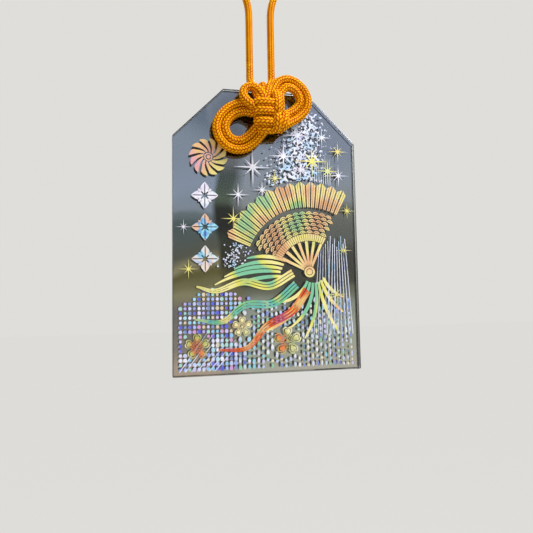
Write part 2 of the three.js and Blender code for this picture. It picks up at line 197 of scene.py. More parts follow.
class Nodes:
    """A node tree, with short ways to add and join its nodes."""

    def __init__(self, tree: bpy.types.NodeTree) -> None:
        """Takes up a tree."""
        self.tree = tree

    def add(self, kind: str, **settings: object) -> bpy.types.Node:
        """Adds a node.

        Args:
            kind: the node's type.
            **settings: its properties, by name.

        Returns:
            The node.
        """
        node = self.tree.nodes.new(kind)
        for key, value in settings.items():
            setattr(node, key, value)
        return node

    def link(self, source: Socket, target: Socket) -> None:
        """Joins an output to an input."""
        self.tree.links.new(source, target)

    def feed(self, socket: Socket, value: object) -> None:
        """Sets an input, or joins it to an output.

        Args:
            socket: the input.
            value: a number, a colour, or the output to join.
        """
        if isinstance(value, bpy.types.NodeSocket):
            self.link(value, socket)
        elif isinstance(value, tuple) and len(value) == 3 and socket.type == "RGBA":
            socket.default_value = (*value, 1.0)
        else:
            socket.default_value = value

    def result(self, node: bpy.types.Node, *values: object) -> Socket:
        """Feeds a node's first inputs.

        Args:
            node: the node.
            *values: what its inputs get, in their order.

        Returns:
            The node's first output.
        """
        for socket, value in zip(node.inputs, values):
            self.feed(socket, value)
        return node.outputs[0]

    def math(self, operation: str, *values: object, clamp: bool = False) -> Socket:
        """What a Math node makes of some values."""
        node = self.add("ShaderNodeMath", operation=operation, use_clamp=clamp)
        return self.result(node, *values)

    def vector_math(self, operation: str, *values: object) -> Socket:
        """What a Vector Math node makes of some values."""
        return self.result(self.add("ShaderNodeVectorMath", operation=operation), *values)

    def steps(self, value: Socket, low: float, high: float) -> Socket:
        """How far a value has come from low to high, held between 0 and 1."""
        return self.result(self.add("ShaderNodeMapRange", clamp=True), value, low, high)

    def together(self, x: object, y: object, z: object) -> Socket:
        """A vector from its X, Y and Z."""
        return self.result(self.add("ShaderNodeCombineXYZ"), x, y, z)

    def parts(self, vector: Socket) -> tuple[Socket, ...]:
        """A vector's X, Y and Z."""
        first = self.result(self.add("ShaderNodeSeparateXYZ"), vector)
        return tuple(first.node.outputs)

    def mix(self, share: object, low: object, high: object, blend: str = "MIX") -> Socket:
        """Mixes two colours.

        Args:
            share: how much of the second one shows, from 0 to 1.
            low: the first colour.
            high: the second colour.
            blend: the way of mixing.

        Returns:
            The mixed colour.
        """
        node = self.add("ShaderNodeMix", data_type="RGBA", blend_type=blend)
        self.feed(node.inputs["Factor"], share)
        self.feed(node.inputs[6], low)
        self.feed(node.inputs[7], high)
        return node.outputs[2]

    def ramp(self, value: Socket, stops: Stops, interpolation: str = "LINEAR") -> Socket:
        """Gives each value a colour.

        Args:
            value: the value.
            stops: values between 0 and 1 with their colours, in rising order.
            interpolation: how the colours between two stops are found.

        Returns:
            The colour.
        """
        node = self.add("ShaderNodeValToRGB")
        node.color_ramp.interpolation = interpolation
        elements = node.color_ramp.elements
        while len(elements) < len(stops):
            elements.new(1.0)
        for element, (position, colour) in zip(elements, stops):
            element.position = position
            element.color = (*colour, 1.0)
        return self.result(node, value)

    def noise(self, vector: Socket, scale: float, detail: float = 2.0) -> Socket:
        """Makes a cloudy value.

        Args:
            vector: the place.
            scale: how many clouds fit in a metre.
            detail: how much finer the clouds' edges are.

        Returns:
            The value, mostly between 0.3 and 0.7.
        """
        node = self.add("ShaderNodeTexNoise")
        for key, value in (("Vector", vector), ("Scale", scale), ("Detail", detail)):
            self.feed(node.inputs[key], value)
        return node.outputs["Fac"]

    def random_of(self, vector: Socket) -> Socket:
        """A random value for each different vector."""
        return self.result(self.add("ShaderNodeTexWhiteNoise", noise_dimensions="3D"), vector)

    def open_rays(self) -> Socket:
        """Tells what is seen from what only gets light.

        Returns:
            1 for what the camera sees straight, off a mirror or through the acrylic.
        """
        rays = self.add("ShaderNodeLightPath").outputs
        seen = self.math("MAXIMUM", rays["Is Camera Ray"], rays["Is Glossy Ray"])
        return self.math("MAXIMUM", seen, rays["Is Transmission Ray"])

    def show(self, share: Socket, first: Socket, second: Socket, output: bpy.types.Node) -> None:
        """Mixes two shaders into the tree's output.

        Args:
            share: how much of the second one shows, from 0 to 1.
            first: the first shader.
            second: the second shader.
            output: the output node.
        """
        mixed = self.result(self.add("ShaderNodeMixShader"), share, first, second)
        self.link(mixed, output.inputs[0])


class Shader(Nodes):
    """A material's node tree, around its Principled shader."""

    def __init__(self, name: str) -> None:
        """Starts a material of that name.

        Args:
            name: the material's name.
        """
        self.material = bpy.data.materials.new(name)
        self.material.use_nodes = True
        super().__init__(self.material.node_tree)
        self.surface = self.tree.nodes["Principled BSDF"]

    def set(self, **values: object) -> None:
        """Sets the Principled shader's inputs, named with underscores for spaces."""
        for key, value in values.items():
            self.feed(self.surface.inputs[key.replace("_", " ")], value)

    def object_place(self) -> Socket:
        """Object coordinates, in metres in the shared frame."""
        return self.add("ShaderNodeTexCoord").outputs["Object"]

    def tablet_share(self, lift: object = 0.0) -> Socket:
        """Finds how far up the tablet a place is, as a share of the tablet's height.

        Args:
            lift: how much higher to look, in metres.

        Returns:
            The share.
        """
        height = self.math("ADD", self.parts(self.object_place())[2], lift)
        return self.steps(height, place(0, 0, -TABLET_HEIGHT).z, place(0, 0, 0).z)

    def behind(self) -> Socket:
        """1 on faces that look to the rear, and 0 on the others."""
        normal = self.add("ShaderNodeTexCoord").outputs["Normal"]
        return self.math("GREATER_THAN", self.parts(normal)[1], 0.5)

    def bump(self, height: Socket, distance: float, strength: float) -> None:
        """Raises the surface, for its shading alone.

        Args:
            height: how high it stands, as a share of the distance.
            distance: the full height, in metres.
            strength: how much of it shows.
        """
        node = self.add("ShaderNodeBump")
        for key, value in (("Strength", strength), ("Distance", distance), ("Height", height)):
            self.feed(node.inputs[key], value)
        self.link(node.outputs[0], self.surface.inputs["Normal"])


@dataclass(frozen=True)
class CordFinish:
    """Yellow-orange round braid: small slanted stitches in rows along the cord. Its colour runs
    from painted shade in the creases, through darker sides, to a painted highlight on the crowns.
    """

    # Painted shade and highlight: the crease and side colours are darker than the cord's own
    # yellow-orange, and the crown is lighter.
    crease_shade: Colour = srgb(124, 36, 0)
    side: Colour = srgb(200, 79, 0)
    crown: Colour = srgb(252, 190, 4)
    colour_heights: tuple[float, float, float] = (0.2, 0.55, 0.94)
    row_share: float = 0.44
    thread_count: float = 5.0
    thread_share: float = 0.08
    thread_height: float = 0.05 * MM
    thread_strength: float = 0.7
    patch_scale: float = 900.0
    patch_share: float = 0.3
    roughness: float = 0.5
    shine: float = 0.06
    fuzz: float = 0.02
    fuzz_roughness: float = 0.4
    glow: float = 0.2
    glow_reaches: Colour = (1.0, 0.4, 0.1)
    glow_depth: float = 0.15 * MM

    @staticmethod
    def off_middle(shader: Shader, value: Socket, weight: float) -> Socket:
        """Finds how far a value is off the middle of its row or stitch.

        Args:
            shader: the cord's shader.
            value: a count of rows or of stitches.
            weight: the result at the row's or stitch's edges.

        Returns:
            The result, which is 0 along the middle.
        """
        centred = shader.math("SUBTRACT", shader.math("FRACT", value), 0.5)
        return shader.math("MULTIPLY", shader.math("MULTIPLY", centred, centred), 4.0 * weight)

    def material(self) -> Material:
        """Makes the cord's material, which reads the stitches off the UV map.

        Returns:
            The material. U counts rows round the cord, and V counts stitches.
        """
        shader = Shader("yellow_orange_braid")
        uv = shader.add("ShaderNodeUVMap", uv_map="stitches").outputs[0]
        row, stitch, _ = shader.parts(uv)
        off_row = self.off_middle(shader, row, self.row_share)
        off_stitch = self.off_middle(shader, stitch, 1 - self.row_share)
        height = shader.math("SUBTRACT", 1.0, shader.math("ADD", off_row, off_stitch), clamp=True)
        threads = shader.math("MULTIPLY", stitch, 2 * math.pi * self.thread_count)
        threads = shader.math("SINE", threads)
        threads = shader.math("MULTIPLY_ADD", threads, self.thread_share, height)
        patch = shader.noise(shader.object_place(), self.patch_scale)
        threads = shader.math("MULTIPLY_ADD", patch, self.patch_share, threads)
        threads = shader.math("SUBTRACT", threads, self.patch_share / 2)
        # The stitch height picks the colour: painted shade in the creases and a painted highlight
        # on the crowns.
        colours = zip(self.colour_heights, (self.crease_shade, self.side, self.crown))
        shader.set(
            Base_Color=shader.ramp(threads, list(colours)),
            Roughness=self.roughness,
            Specular_IOR_Level=self.shine,
            Sheen_Weight=self.fuzz,
            Sheen_Roughness=self.fuzz_roughness,
            Sheen_Tint=(*self.crown, 1.0),
            Subsurface_Weight=self.glow,
            Subsurface_Radius=self.glow_reaches,
            Subsurface_Scale=self.glow_depth,
        )
        shader.bump(threads, self.thread_height, self.thread_strength)
        return shader.material


@dataclass(frozen=True)
class AcrylicFinish:
    """Clear polished acrylic, with the faintest water tint.

    Each of the cut edges' painted reflections is a rise on the tablet and a colour: the edges are
    darkened to paint the dark surroundings that they show.
    """

    tint: Colour = (0.93, 0.96, 0.97)
    density: float = 1.49
    edge_roughness: float = 0.06
    # Painted reflection: dark surroundings seen through the edges, each a rise and a colour.
    painted_edge_reflections: Stops = (
        (-67.5, (0.34, 0.36, 0.4)), (-67.25, (0.34, 0.36, 0.4)), (-66.9, (0.08, 0.08, 0.09)),
        (-60, (0.07, 0.06, 0.05)), (-42, (0.14, 0.14, 0.13)), (-26, (0.4, 0.42, 0.4)),
        (0, (0.44, 0.46, 0.44)),
    )

    def faces(self) -> Material:
        """Makes the material of the sheet's faces and of its hole.

        Returns:
            The material.
        """
        shader = Shader("clear_acrylic")
        shader.set(Base_Color=self.tint, Roughness=0.0, IOR=self.density, Transmission_Weight=1.0)
        return shader.material

    def edges(self) -> Material:
        """Makes the material of the cut edges, darkened towards the bottom to paint the dark
        surroundings that they show.

        Returns:
            The material.
        """
        shader = Shader("cut_acrylic_edge")
        shader.set(
            Base_Color=shader.ramp(shader.tablet_share(), up_tablet(self.painted_edge_reflections)),
            Roughness=self.edge_roughness,
            IOR=self.density,
            Transmission_Weight=1.0,
        )
        return shader.material


@dataclass(frozen=True)
class MirrorFinish:
    """A mirror coat with a soft, uneven tone that is painted reflection, and grey paint behind it.

    The tones are painted reflections of darker surroundings, which the coat shows through
    the acrylic while it reflects the pale studio, in three soft columns. Lengths are in
    millimetres.
    """

    # Painted reflection: each column's tones are dark surroundings that the mirror shows, each a
    # rise and an 8-bit colour.
    left: Stops = tones(
        (-66, 168, 152, 136), (-60, 128, 122, 114), (-55, 110, 106, 104), (-50.5, 130, 125, 100),
        (-47.5, 110, 106, 78), (-45, 94, 90, 60), (-42.3, 132, 126, 100), (-39, 86, 88, 80),
        (-33, 80, 92, 94), (-30.5, 98, 108, 114), (-28.3, 126, 136, 150), (-23, 132, 143, 162),
        (-15, 128, 138, 155), (-5, 104, 114, 131), (0, 102, 112, 128),
    )
    middle: Stops = tones(
        (-66, 150, 144, 136), (-58, 126, 120, 106), (-50, 108, 103, 80), (-46, 86, 82, 60),
        (-41.5, 58, 59, 45), (-37, 60, 63, 56), (-33, 38, 45, 41), (-28.5, 44, 53, 46),
        (-25.5, 82, 92, 82), (-22, 74, 82, 82), (-18.5, 100, 102, 108), (-14, 112, 118, 132),
        (0, 116, 124, 140),
    )
    right: Stops = tones(
        (-66, 172, 168, 156), (-61, 158, 161, 148), (-57, 150, 155, 144), (-53, 138, 143, 134),
        (-49, 104, 106, 92), (-46.5, 76, 76, 68), (-41, 74, 74, 70), (-34, 98, 100, 96),
        (-30, 110, 112, 108), (-27.5, 132, 137, 142), (-21, 136, 143, 156), (-12, 128, 137, 156),
        (-4, 128, 136, 157), (0, 122, 129, 147),
    )
    left_border: Flat = (-12.9, -11.7)
    right_border: Flat = (-8.5, -5.2)
    cloud_scale: float = 60.0
    cloud_lift: float = 16.0
    cloud_sway: float = 12.0
    knot_shade: float = 0.6
    knot_middle: Flat = (-1.0, -6.2)
    knot_reach: Flat = (11.5, 7.5)
    knot_border: Flat = (0.7, 1.1)
    studio_share: float = 0.66
    sheen: float = 0.03
    darkest: float = 0.002
    coat_roughness: float = 0.03
    paint: Colour = srgb(150, 152, 155)
    paint_roughness: float = 0.53

    def coat(self, tone: Colour) -> Colour:
        """The coat's colour that paints a reflected tone, with the acrylic's sheen taken off and
        the studio's share divided out.
        """
        return tuple(max(value - self.sheen, self.darkest) / self.studio_share for value in tone)

    def reflection_columns(self, shader: Shader, across: Socket) -> Socket:
        """Paints the three columns of reflected tones, which are painted reflection, with cloudy
        borders.

        Args:
            shader: the coat's shader.
            across: the place's X, in metres.

        Returns:
            The coat's colour.
        """
        cloud = shader.noise(shader.object_place(), self.cloud_scale, 1.0)
        cloud = shader.math("SUBTRACT", cloud, 0.5)
        share = shader.tablet_share(shader.math("MULTIPLY", cloud, self.cloud_lift * MM))
        left, middle, right = (
            shader.ramp(share, up_tablet([(rise, self.coat(tone)) for rise, tone in stops]), "EASE")
            for stops in (self.left, self.middle, self.right)
        )
        swayed = shader.math("MULTIPLY_ADD", cloud, self.cloud_sway * MM, across)
        past_left, past_right = (
            shader.steps(swayed, *(place(x, 0, 0).x for x in border))
            for border in (self.left_border, self.right_border)
        )
        return shader.mix(past_right, shader.mix(past_left, left, middle), right)

    def knot_shadow(self, shader: Shader, across: Socket, height: Socket) -> Socket:
        """Darkens the coat behind the knot, where the knot is reflected.

        Args:
            shader: the coat's shader.
            across: the place's X, in metres.
            height: its Z.

        Returns:
            The colour to multiply by, which is white away from the knot.
        """
        knot = place(self.knot_middle[0], 0, self.knot_middle[1])
        squares = []
        for value, middle, reach in zip((across, height), (knot.x, knot.z), self.knot_reach):
            off = shader.math("DIVIDE", shader.math("SUBTRACT", value, middle), reach * MM)
            squares.append(shader.math("MULTIPLY", off, off))
        off = shader.steps(shader.math("SQRT", shader.math("ADD", *squares)), *self.knot_border)
        return shader.mix(off, (self.knot_shade,) * 3, (1.0, 1.0, 1.0))

    def material(self) -> Material:
        """Makes the coat's material.

        Returns:
            The material, a mirror in front and paint behind.
        """
        shader = Shader("painted_reflection_mirror_coat")
        across, _, height = shader.parts(shader.object_place())
        shadow = self.knot_shadow(shader, across, height)
        # The coat's colour is painted reflection, darkened further by the painted knot shadow.
        colour = shader.mix(1.0, self.reflection_columns(shader, across), shadow, "MULTIPLY")
        behind = shader.behind()
        rougher = self.paint_roughness - self.coat_roughness
        shader.set(
            Base_Color=shader.mix(behind, colour, self.paint),
            Metallic=shader.math("SUBTRACT", 1.0, behind),
            Roughness=shader.math("MULTIPLY_ADD", behind, rougher, self.coat_roughness),
        )
        return shader.material


@dataclass(frozen=True)
class FoilFinish:
    """Holographic foil that drifts between its colours, or takes one for each cell."""

    name: str
    colours: tuple[Colour, ...]
    drift: float = 160.0
    cell: float = 0.0
    # The glued back's colour: partly the glue and partly painted shade, which the mirror shows
    # behind each piece.
    glue_and_shade: Colour = srgb(74, 60, 44)
    drift_span: Flat = (0.28, 0.72)
    metallic: float = 0.3
    roughness: float = 0.35
    grain_scale: float = 5200.0
    grain_height: float = 0.004 * MM
    grain_strength: float = 0.3

    def colour(self, shader: Shader) -> Socket:
        """Gives each spot of the foil one of its colours.

        Args:
            shader: the foil's shader.

        Returns:
            The colour.
        """
        where = shader.object_place()
        count = len(self.colours)
        if self.cell:
            cells = shader.vector_math("SCALE", where)
            cells.node.inputs["Scale"].default_value = 1 / (self.cell * MM)
            x, _, z = shader.parts(shader.vector_math("FLOOR", cells))
            chance = shader.random_of(shader.together(x, 0.0, z))
            stops = [(i / count, tone) for i, tone in enumerate(self.colours)]
            return shader.ramp(chance, stops, "CONSTANT")
        chance = shader.steps(shader.noise(where, self.drift, 1.0), *self.drift_span)
        stops = [((i + 0.5) / count, tone) for i, tone in enumerate(self.colours)]
        return shader.ramp(chance, stops)

    def material(self) -> Material:
        """Makes the foil's material.

        Returns:
            The material, dull and dark on its glued side; that dark is partly painted shade.
        """
        shader = Shader(self.name)
        shader.set(
            Base_Color=shader.mix(shader.behind(), self.colour(shader), self.glue_and_shade),
            Metallic=self.metallic,
            Roughness=self.roughness,
        )
        grain = shader.noise(shader.object_place(), self.grain_scale, 0.0)
        shader.bump(grain, self.grain_height, self.grain_strength)
        return shader.material


@dataclass
class Studio:
    """A pale sweep, soft lamps and the camera. Lengths are in metres."""

    page: Colour = srgb(223, 222, 218)
    page_share: float = 0.97
    floor_drop: float = 0.36
    floor_size: float = 14.0
    floor_roughness: float = 0.9
    floor_shine: float = 0.1
    sky: Colour = (0.95, 0.97, 1.0)
    sky_strength: float = 0.34
    # Each lamp: its name, its place from the charm's middle, its size and its power.
    lamps: tuple[tuple[str, Place, float, float], ...] = (
        ("key_softbox", (0.3, -0.34, 0.55), 0.3, 7.2),
        ("fill_softbox", (-0.75, -0.35, 0.05), 0.5, 0.8),
        ("back_softbox", (0.2, 0.6, 0.3), 0.4, 2.2),
    )
    # On the tablet, in millimetres, as are all of the object's places.
    charm_middle: Place = (0.0, 0.0, -30.0)
    camera_place: Place = (-32.826, 137.818, -51.925)
    # The camera's yaw, pitch and roll.
    camera_degrees: tuple[float, float, float] = (-14.966, -5.754, -1.166)
    sensor_width: float = 36.0
    lens: float = 40.525
    shift: Flat = (-0.0347, -0.0403)
    clip: Flat = (0.005, 50.0)

    def build(self) -> None:
        """Makes the camera, the floor, the world and the lamps."""
        bpy.context.scene.view_settings.view_transform = "Standard"
        self.camera()
        self.floor()
        self.world()
        for name, where, size, power in self.lamps:
            self.lamp(name, Vector(where), size, power)
        LOG.info("studio: %d lamps", len(self.lamps))

    def camera(self) -> None:
        """Puts the camera where the photograph was taken from."""
        data = bpy.data.cameras.new("camera")
        data.sensor_width = self.sensor_width
        data.lens = self.lens
        data.shift_x, data.shift_y = self.shift
        data.clip_start, data.clip_end = self.clip
        camera = bpy.data.objects.new("camera", data)
        bpy.context.scene.collection.objects.link(camera)
        yaw, pitch, roll = (math.radians(angle) for angle in self.camera_degrees)
        level = math.cos(pitch)
        forward = Vector((-math.sin(yaw) * level, math.cos(yaw) * level, -math.sin(pitch)))
        right = Vector((math.cos(yaw), math.sin(yaw), 0.0))
        up = right.cross(forward)
        turned_right = right * math.cos(roll) + up * math.sin(roll)
        turned_up = up * math.cos(roll) - right * math.sin(roll)
        turn = Matrix((turned_right, turned_up, -forward)).transposed()
        camera.matrix_world = Matrix.Translation(place(*self.camera_place)) @ turn.to_4x4()
        bpy.context.scene.camera = camera

    def floor(self) -> None:
        """Lays the pale floor, far below the charm, which hangs."""
        bpy.ops.mesh.primitive_plane_add(size=self.floor_size, location=(0, 0, -self.floor_drop))
        floor = bpy.context.object
        floor.name = "floor"
        shader = Shader("pale_floor")
        shader.set(
            Base_Color=self.page,
            Roughness=self.floor_roughness,
            Specular_IOR_Level=self.floor_shine,
        )
        page = shader.result(shader.add("ShaderNodeEmission"), self.page)
        share = shader.math("MULTIPLY", shader.open_rays(), self.page_share)
        output = shader.tree.nodes["Material Output"]
        shader.show(share, shader.surface.outputs[0], page, output)
        floor.data.materials.append(shader.material)

    def world(self) -> None:
        """Fills the world with plain light, and shows the page's colour."""
        world = bpy.data.worlds.new("studio")
        bpy.context.scene.world = world
        world.use_nodes = True
        nodes = Nodes(world.node_tree)
        sky = nodes.result(world.node_tree.nodes["Background"], self.sky, self.sky_strength)
        page = nodes.result(nodes.add("ShaderNodeBackground"), self.page, 1.0)
        nodes.show(nodes.open_rays(), sky, page, world.node_tree.nodes["World Output"])

    def lamp(self, name: str, where: Vector, size: float, power: float) -> None:
        """Hangs a soft square lamp that faces the charm.

        Args:
            name: the lamp's name.
            where: its place from the charm's middle.
            size: its side.
            power: its power, in watts.
        """
        data = bpy.data.lights.new(name, "AREA")
        data.shape = "SQUARE"
        data.size = size
        data.energy = power
        lamp = bpy.data.objects.new(name, data)
        lamp.visible_transmission = False
        bpy.context.scene.collection.objects.link(lamp)
        lamp.location = where + place(*self.charm_middle)
        lamp.rotation_euler = (-where).to_track_quat("-Z", "Y").to_euler()


@dataclass(frozen=True)
class Strand:
    """One stretch of the cord: its middle line's points, and its radius at both ends."""

    name: str
    points: tuple[Place, ...]
    head: float = 1.07
    tail: float = 1.07


@dataclass(frozen=True)
class Braid:
    """How the cord is braided. Lengths are in millimetres.

    Stitches lie in rows along the cord, and lean to the left and to the right
    in turn. A place on the way round is counted in rows.
    """

    rows: int = 8
    pitch: float = 0.72
    slant: float = 0.62
    offset: float = 0.25
    relief: float = 0.2
    roundness: float = 0.7
    row_share: float = 0.44
    sides: int = 64
    rings_per_stitch: int = 8
    least_rings: int = 12
    steps_per_point: int = 48
    cap: float = 0.6
    cap_hole: float = 0.2
    first_side: Place = (0.0, 0.31, 0.95)

    def line(self, points: Sequence[Place]) -> np.ndarray:
        """Follows a centripetal Catmull-Rom curve.

        Args:
            points: the route's points.

        Returns:
            An array of even places along the route, in metres, one for each ring.
        """
        knots = [np.array(place(*point)) for point in points]
        knots = [2 * knots[0] - knots[1], *knots, 2 * knots[-1] - knots[-2]]
        fine: list[np.ndarray] = []
        for a, b, c, d in zip(knots, knots[1:], knots[2:], knots[3:]):
            spans = [math.sqrt(np.linalg.norm(q - p)) for p, q in ((a, b), (b, c), (c, d))]
            t0, t1 = 0.0, spans[0]
            t2 = t1 + spans[1]
            t3 = t2 + spans[2]
            for t in np.linspace(t1, t2, self.steps_per_point, endpoint=False):
                ab = (a * (t1 - t) + b * (t - t0)) / (t1 - t0)
                bc = (b * (t2 - t) + c * (t - t1)) / (t2 - t1)
                cd = (c * (t3 - t) + d * (t - t2)) / (t3 - t2)
                abc = (ab * (t2 - t) + bc * (t - t0)) / (t2 - t0)
                bcd = (bc * (t3 - t) + cd * (t - t1)) / (t3 - t1)
                fine.append((abc * (t2 - t) + bcd * (t - t1)) / (t2 - t1))
        fine.append(knots[-2])
        track = np.array(fine)
        run = np.concatenate(([0.0], np.cumsum(np.linalg.norm(np.diff(track, axis=0), axis=1))))
        ring_gap = self.pitch * MM / self.rings_per_stitch
        even = np.linspace(0.0, run[-1], max(self.least_rings, round(run[-1] / ring_gap)) + 1)
        return np.stack([np.interp(even, run, track[:, axis]) for axis in range(3)], axis=1)

    def lean(self, row: np.ndarray, turn: np.ndarray) -> np.ndarray:
        """Shifts the stitches of leaning rows along the cord.

        Args:
            row: the rows' numbers, from 0.
            turn: places on the way round.

        Returns:
            How far the stitches are shifted at each place, in stitches.
        """
        side = np.where(row % 2 == 0, 1.0, -1.0)
        return side * (self.slant * (turn - row - 0.5) + self.offset)

    def radii(self, strand: Strand, stitches: np.ndarray) -> np.ndarray:
        """Raises the stitches over the creases between them, and rounds both ends off.

        Args:
            strand: the stretch of cord, for its radius at both ends.
            stitches: how many stitches each ring is from the first.

        Returns:
            The radius of each ring at each place round it, in metres.
        """
        turn = np.arange(self.sides + 1) / self.sides * self.rows
        row = np.ceil(turn) - 1
        off_row = (2 * (turn - row - 0.5))[None, :]
        stitch = stitches[:, None] + self.lean(row, turn)[None, :]
        off_stitch = 2 * (stitch % 1.0) - 1
        crown = 1 - self.row_share * off_row**2 - (1 - self.row_share) * off_stitch**2
        crown = np.clip(crown, 0, 1) ** self.roundness
        radius = np.linspace(strand.head, strand.tail, len(stitches))[:, None] * MM
        ends = np.minimum(stitches, stitches[::-1]) * self.pitch / self.cap
        round_off = np.sqrt(np.clip(1 - (1 - np.clip(ends, 0, 1)) ** 2, self.cap_hole**2, 1))
        return radius * (1 - self.relief * (1 - crown)) * round_off[:, None]

    def rings(self, line: np.ndarray, radii: np.ndarray) -> np.ndarray:
        """Sets a ring square to the cord at each place, with no twist from one to the next.

        Args:
            line: the places.
            radii: each ring's radius at each place round it.

        Returns:
            The rings' points, ring by ring.
        """
        ways = np.gradient(line, axis=0)
        ways /= np.linalg.norm(ways, axis=1)[:, None]
        across = np.cross(ways[0], self.first_side)
        sides = []
        for way in ways:
            across = across - way * (across @ way)
            across /= np.linalg.norm(across)
            sides.append(across)
        one = np.array(sides)
        two = np.cross(ways, one)
        angle = np.arange(self.sides) / self.sides * 2 * math.pi
        cosine, sine = (wave(angle)[None, :, None] for wave in (np.cos, np.sin))
        ring = cosine * one[:, None, :] + sine * two[:, None, :]
        return line[:, None, :] + radii[:, : self.sides, None] * ring

    def stitch_map(self, stitches: np.ndarray) -> np.ndarray:
        """Maps each face's corners, with U in rows round the cord and V in stitches.

        Args:
            stitches: how many stitches each ring is from the first.

        Returns:
            U and V for each corner of the faces between the rings, in the faces' order.
        """
        turn = np.arange(self.sides + 1) / self.sides * self.rows
        row = np.floor((turn[:-1] + turn[1:]) / 2)
        low, high = turn[:-1], turn[1:]
        start, end = stitches[:-1, None], stitches[1:, None]
        corners = (
            (low, start + self.lean(row, low)), (high, start + self.lean(row, high)),
            (high, end + self.lean(row, high)), (low, end + self.lean(row, low)),
        )
        maps = [np.stack([np.broadcast_to(u, v.shape), v], axis=-1) for u, v in corners]
        return np.stack(maps, axis=2).reshape(-1, 2)

    def skin(self, strand: Strand) -> tuple[Piece, np.ndarray]:
        """Braids one stretch of cord.

        Args:
            strand: its name, its route and its radius at both ends.

        Returns:
            The piece, and the middle line that it follows.
        """
        line = self.line(strand.points)
        count, sides = len(line), self.sides
        stitches = np.arange(count) * np.linalg.norm(line[1] - line[0]) / (self.pitch * MM)
        points = self.rings(line, self.radii(strand, stitches)).reshape(-1, 3)
        here = np.arange(sides)
        after = (here + 1) % sides
        rings = (np.arange(count - 1) * sides)[:, None]
        above = rings + sides
        quads = np.stack([rings + here, rings + after, above + after, above + here], 2)
        last = (count - 1) * sides
        head = np.stack([after, here, np.full(sides, len(points))], 1)
        tail = np.stack([last + here, last + after, np.full(sides, len(points) + 1)], 1)
        faces = [*quads.reshape(-1, 4).tolist(), *head.tolist(), *tail.tolist()]
        caps = np.tile((0.5, 0.0), (6 * sides, 1))
        mesh = bpy.data.meshes.new(strand.name)
        mesh.from_pydata([*points.tolist(), line[0].tolist(), line[-1].tolist()], [], faces)
        maps = np.concatenate([self.stitch_map(stitches), caps])
        mesh.uv_layers.new(name="stitches").data.foreach_set("uv", maps.astype(np.float32).ravel())
        mesh.polygons.foreach_set("use_smooth", [True] * len(faces))
        mesh.update()
        piece = bpy.data.objects.new(strand.name, mesh)
        bpy.context.scene.collection.objects.link(piece)
        LOG.info("%s: %d faces", strand.name, len(faces))
        return piece, line


@dataclass
class HangingCord:
    """The part of the cord that hangs the charm: the loop and the neck under it."""

    braid: Braid
    finish: Material
    taut: float = 0.9
    neck_head: float = 0.873
    slack: float = 1.02
    path_step: int = 6
    loop_line: tuple[Flat, ...] = (
        (-3.8, 5.75), (-3.8, 9.15), (-3.8, 12), (-3.8, 15), (-3.8, 18), (-3.9, 20.6),
        (-4.25, 22.6), (-4.7, 24.4), (-4.22, 26.2), (-2.9, 27.52), (-1.1, 28), (0.7, 27.52),
        (2.02, 26.2), (2.5, 24.4), (2.05, 22.6), (1.7, 20.6), (1.6, 18), (1.6, 15), (1.6, 12),
        (1.6, 9.15), (1.6, 5.75),
    )
    neck_points: dict[str, tuple[Place, ...]] = field(default_factory=lambda: {
        "left": (
            (-3.8, -0.8, 7.1), (-3.8, -0.8, 4.6), (-3.8, -0.8, 3.2), (-3.7, -0.4, 2.1),
            (-3.5, 0.9, 0.9), (-3.15, 1.8, -0.5), (-2.55, 3, -2.6), (-1.4, 3.4, -4.3),
        ),
        "right": (
            (1.6, -0.8, 7.1), (1.6, -0.8, 4.6), (1.6, -0.8, 3.2), (1.3, -0.2, 2.1),
            (0.75, 1.4, 1.2), (0.1, 2.8, -0.2), (-0.5, 3.5, -2.2), (-1.1, 3.5, -4.3),
        ),
    })
    # Rises between which each stretch goes from its upper body to its lower one.
    loop_bend: Flat = (23, 7.2)
    neck_bend: Flat = (5.6, 1.6)

    def hang(self, piece: Piece, node: str) -> None:
        """Gives a piece the cord's material, hides its CAD node and bakes the piece's transform.

        Args:
            piece: the piece.
            node: the node.
        """
        piece.data.materials.append(self.finish)
        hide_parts(node)
        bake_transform(piece)

    def build(self) -> None:
        """Braids the loop and both strands of the neck, in place of their CAD nodes."""
        route = tuple((x, ORIGIN[1], rise) for x, rise in self.loop_line)
        loop, line = self.braid.skin(Strand("cord_hanging_loop", route, self.taut, self.taut))
        self.hang(loop, "hanging_loop")
        for side, points in self.neck_points.items():
            strand = Strand("cord_neck_" + side, points, self.neck_head, self.slack)
            neck, _ = self.braid.skin(strand)
            self.hang(neck, "neck_strand_" + side)


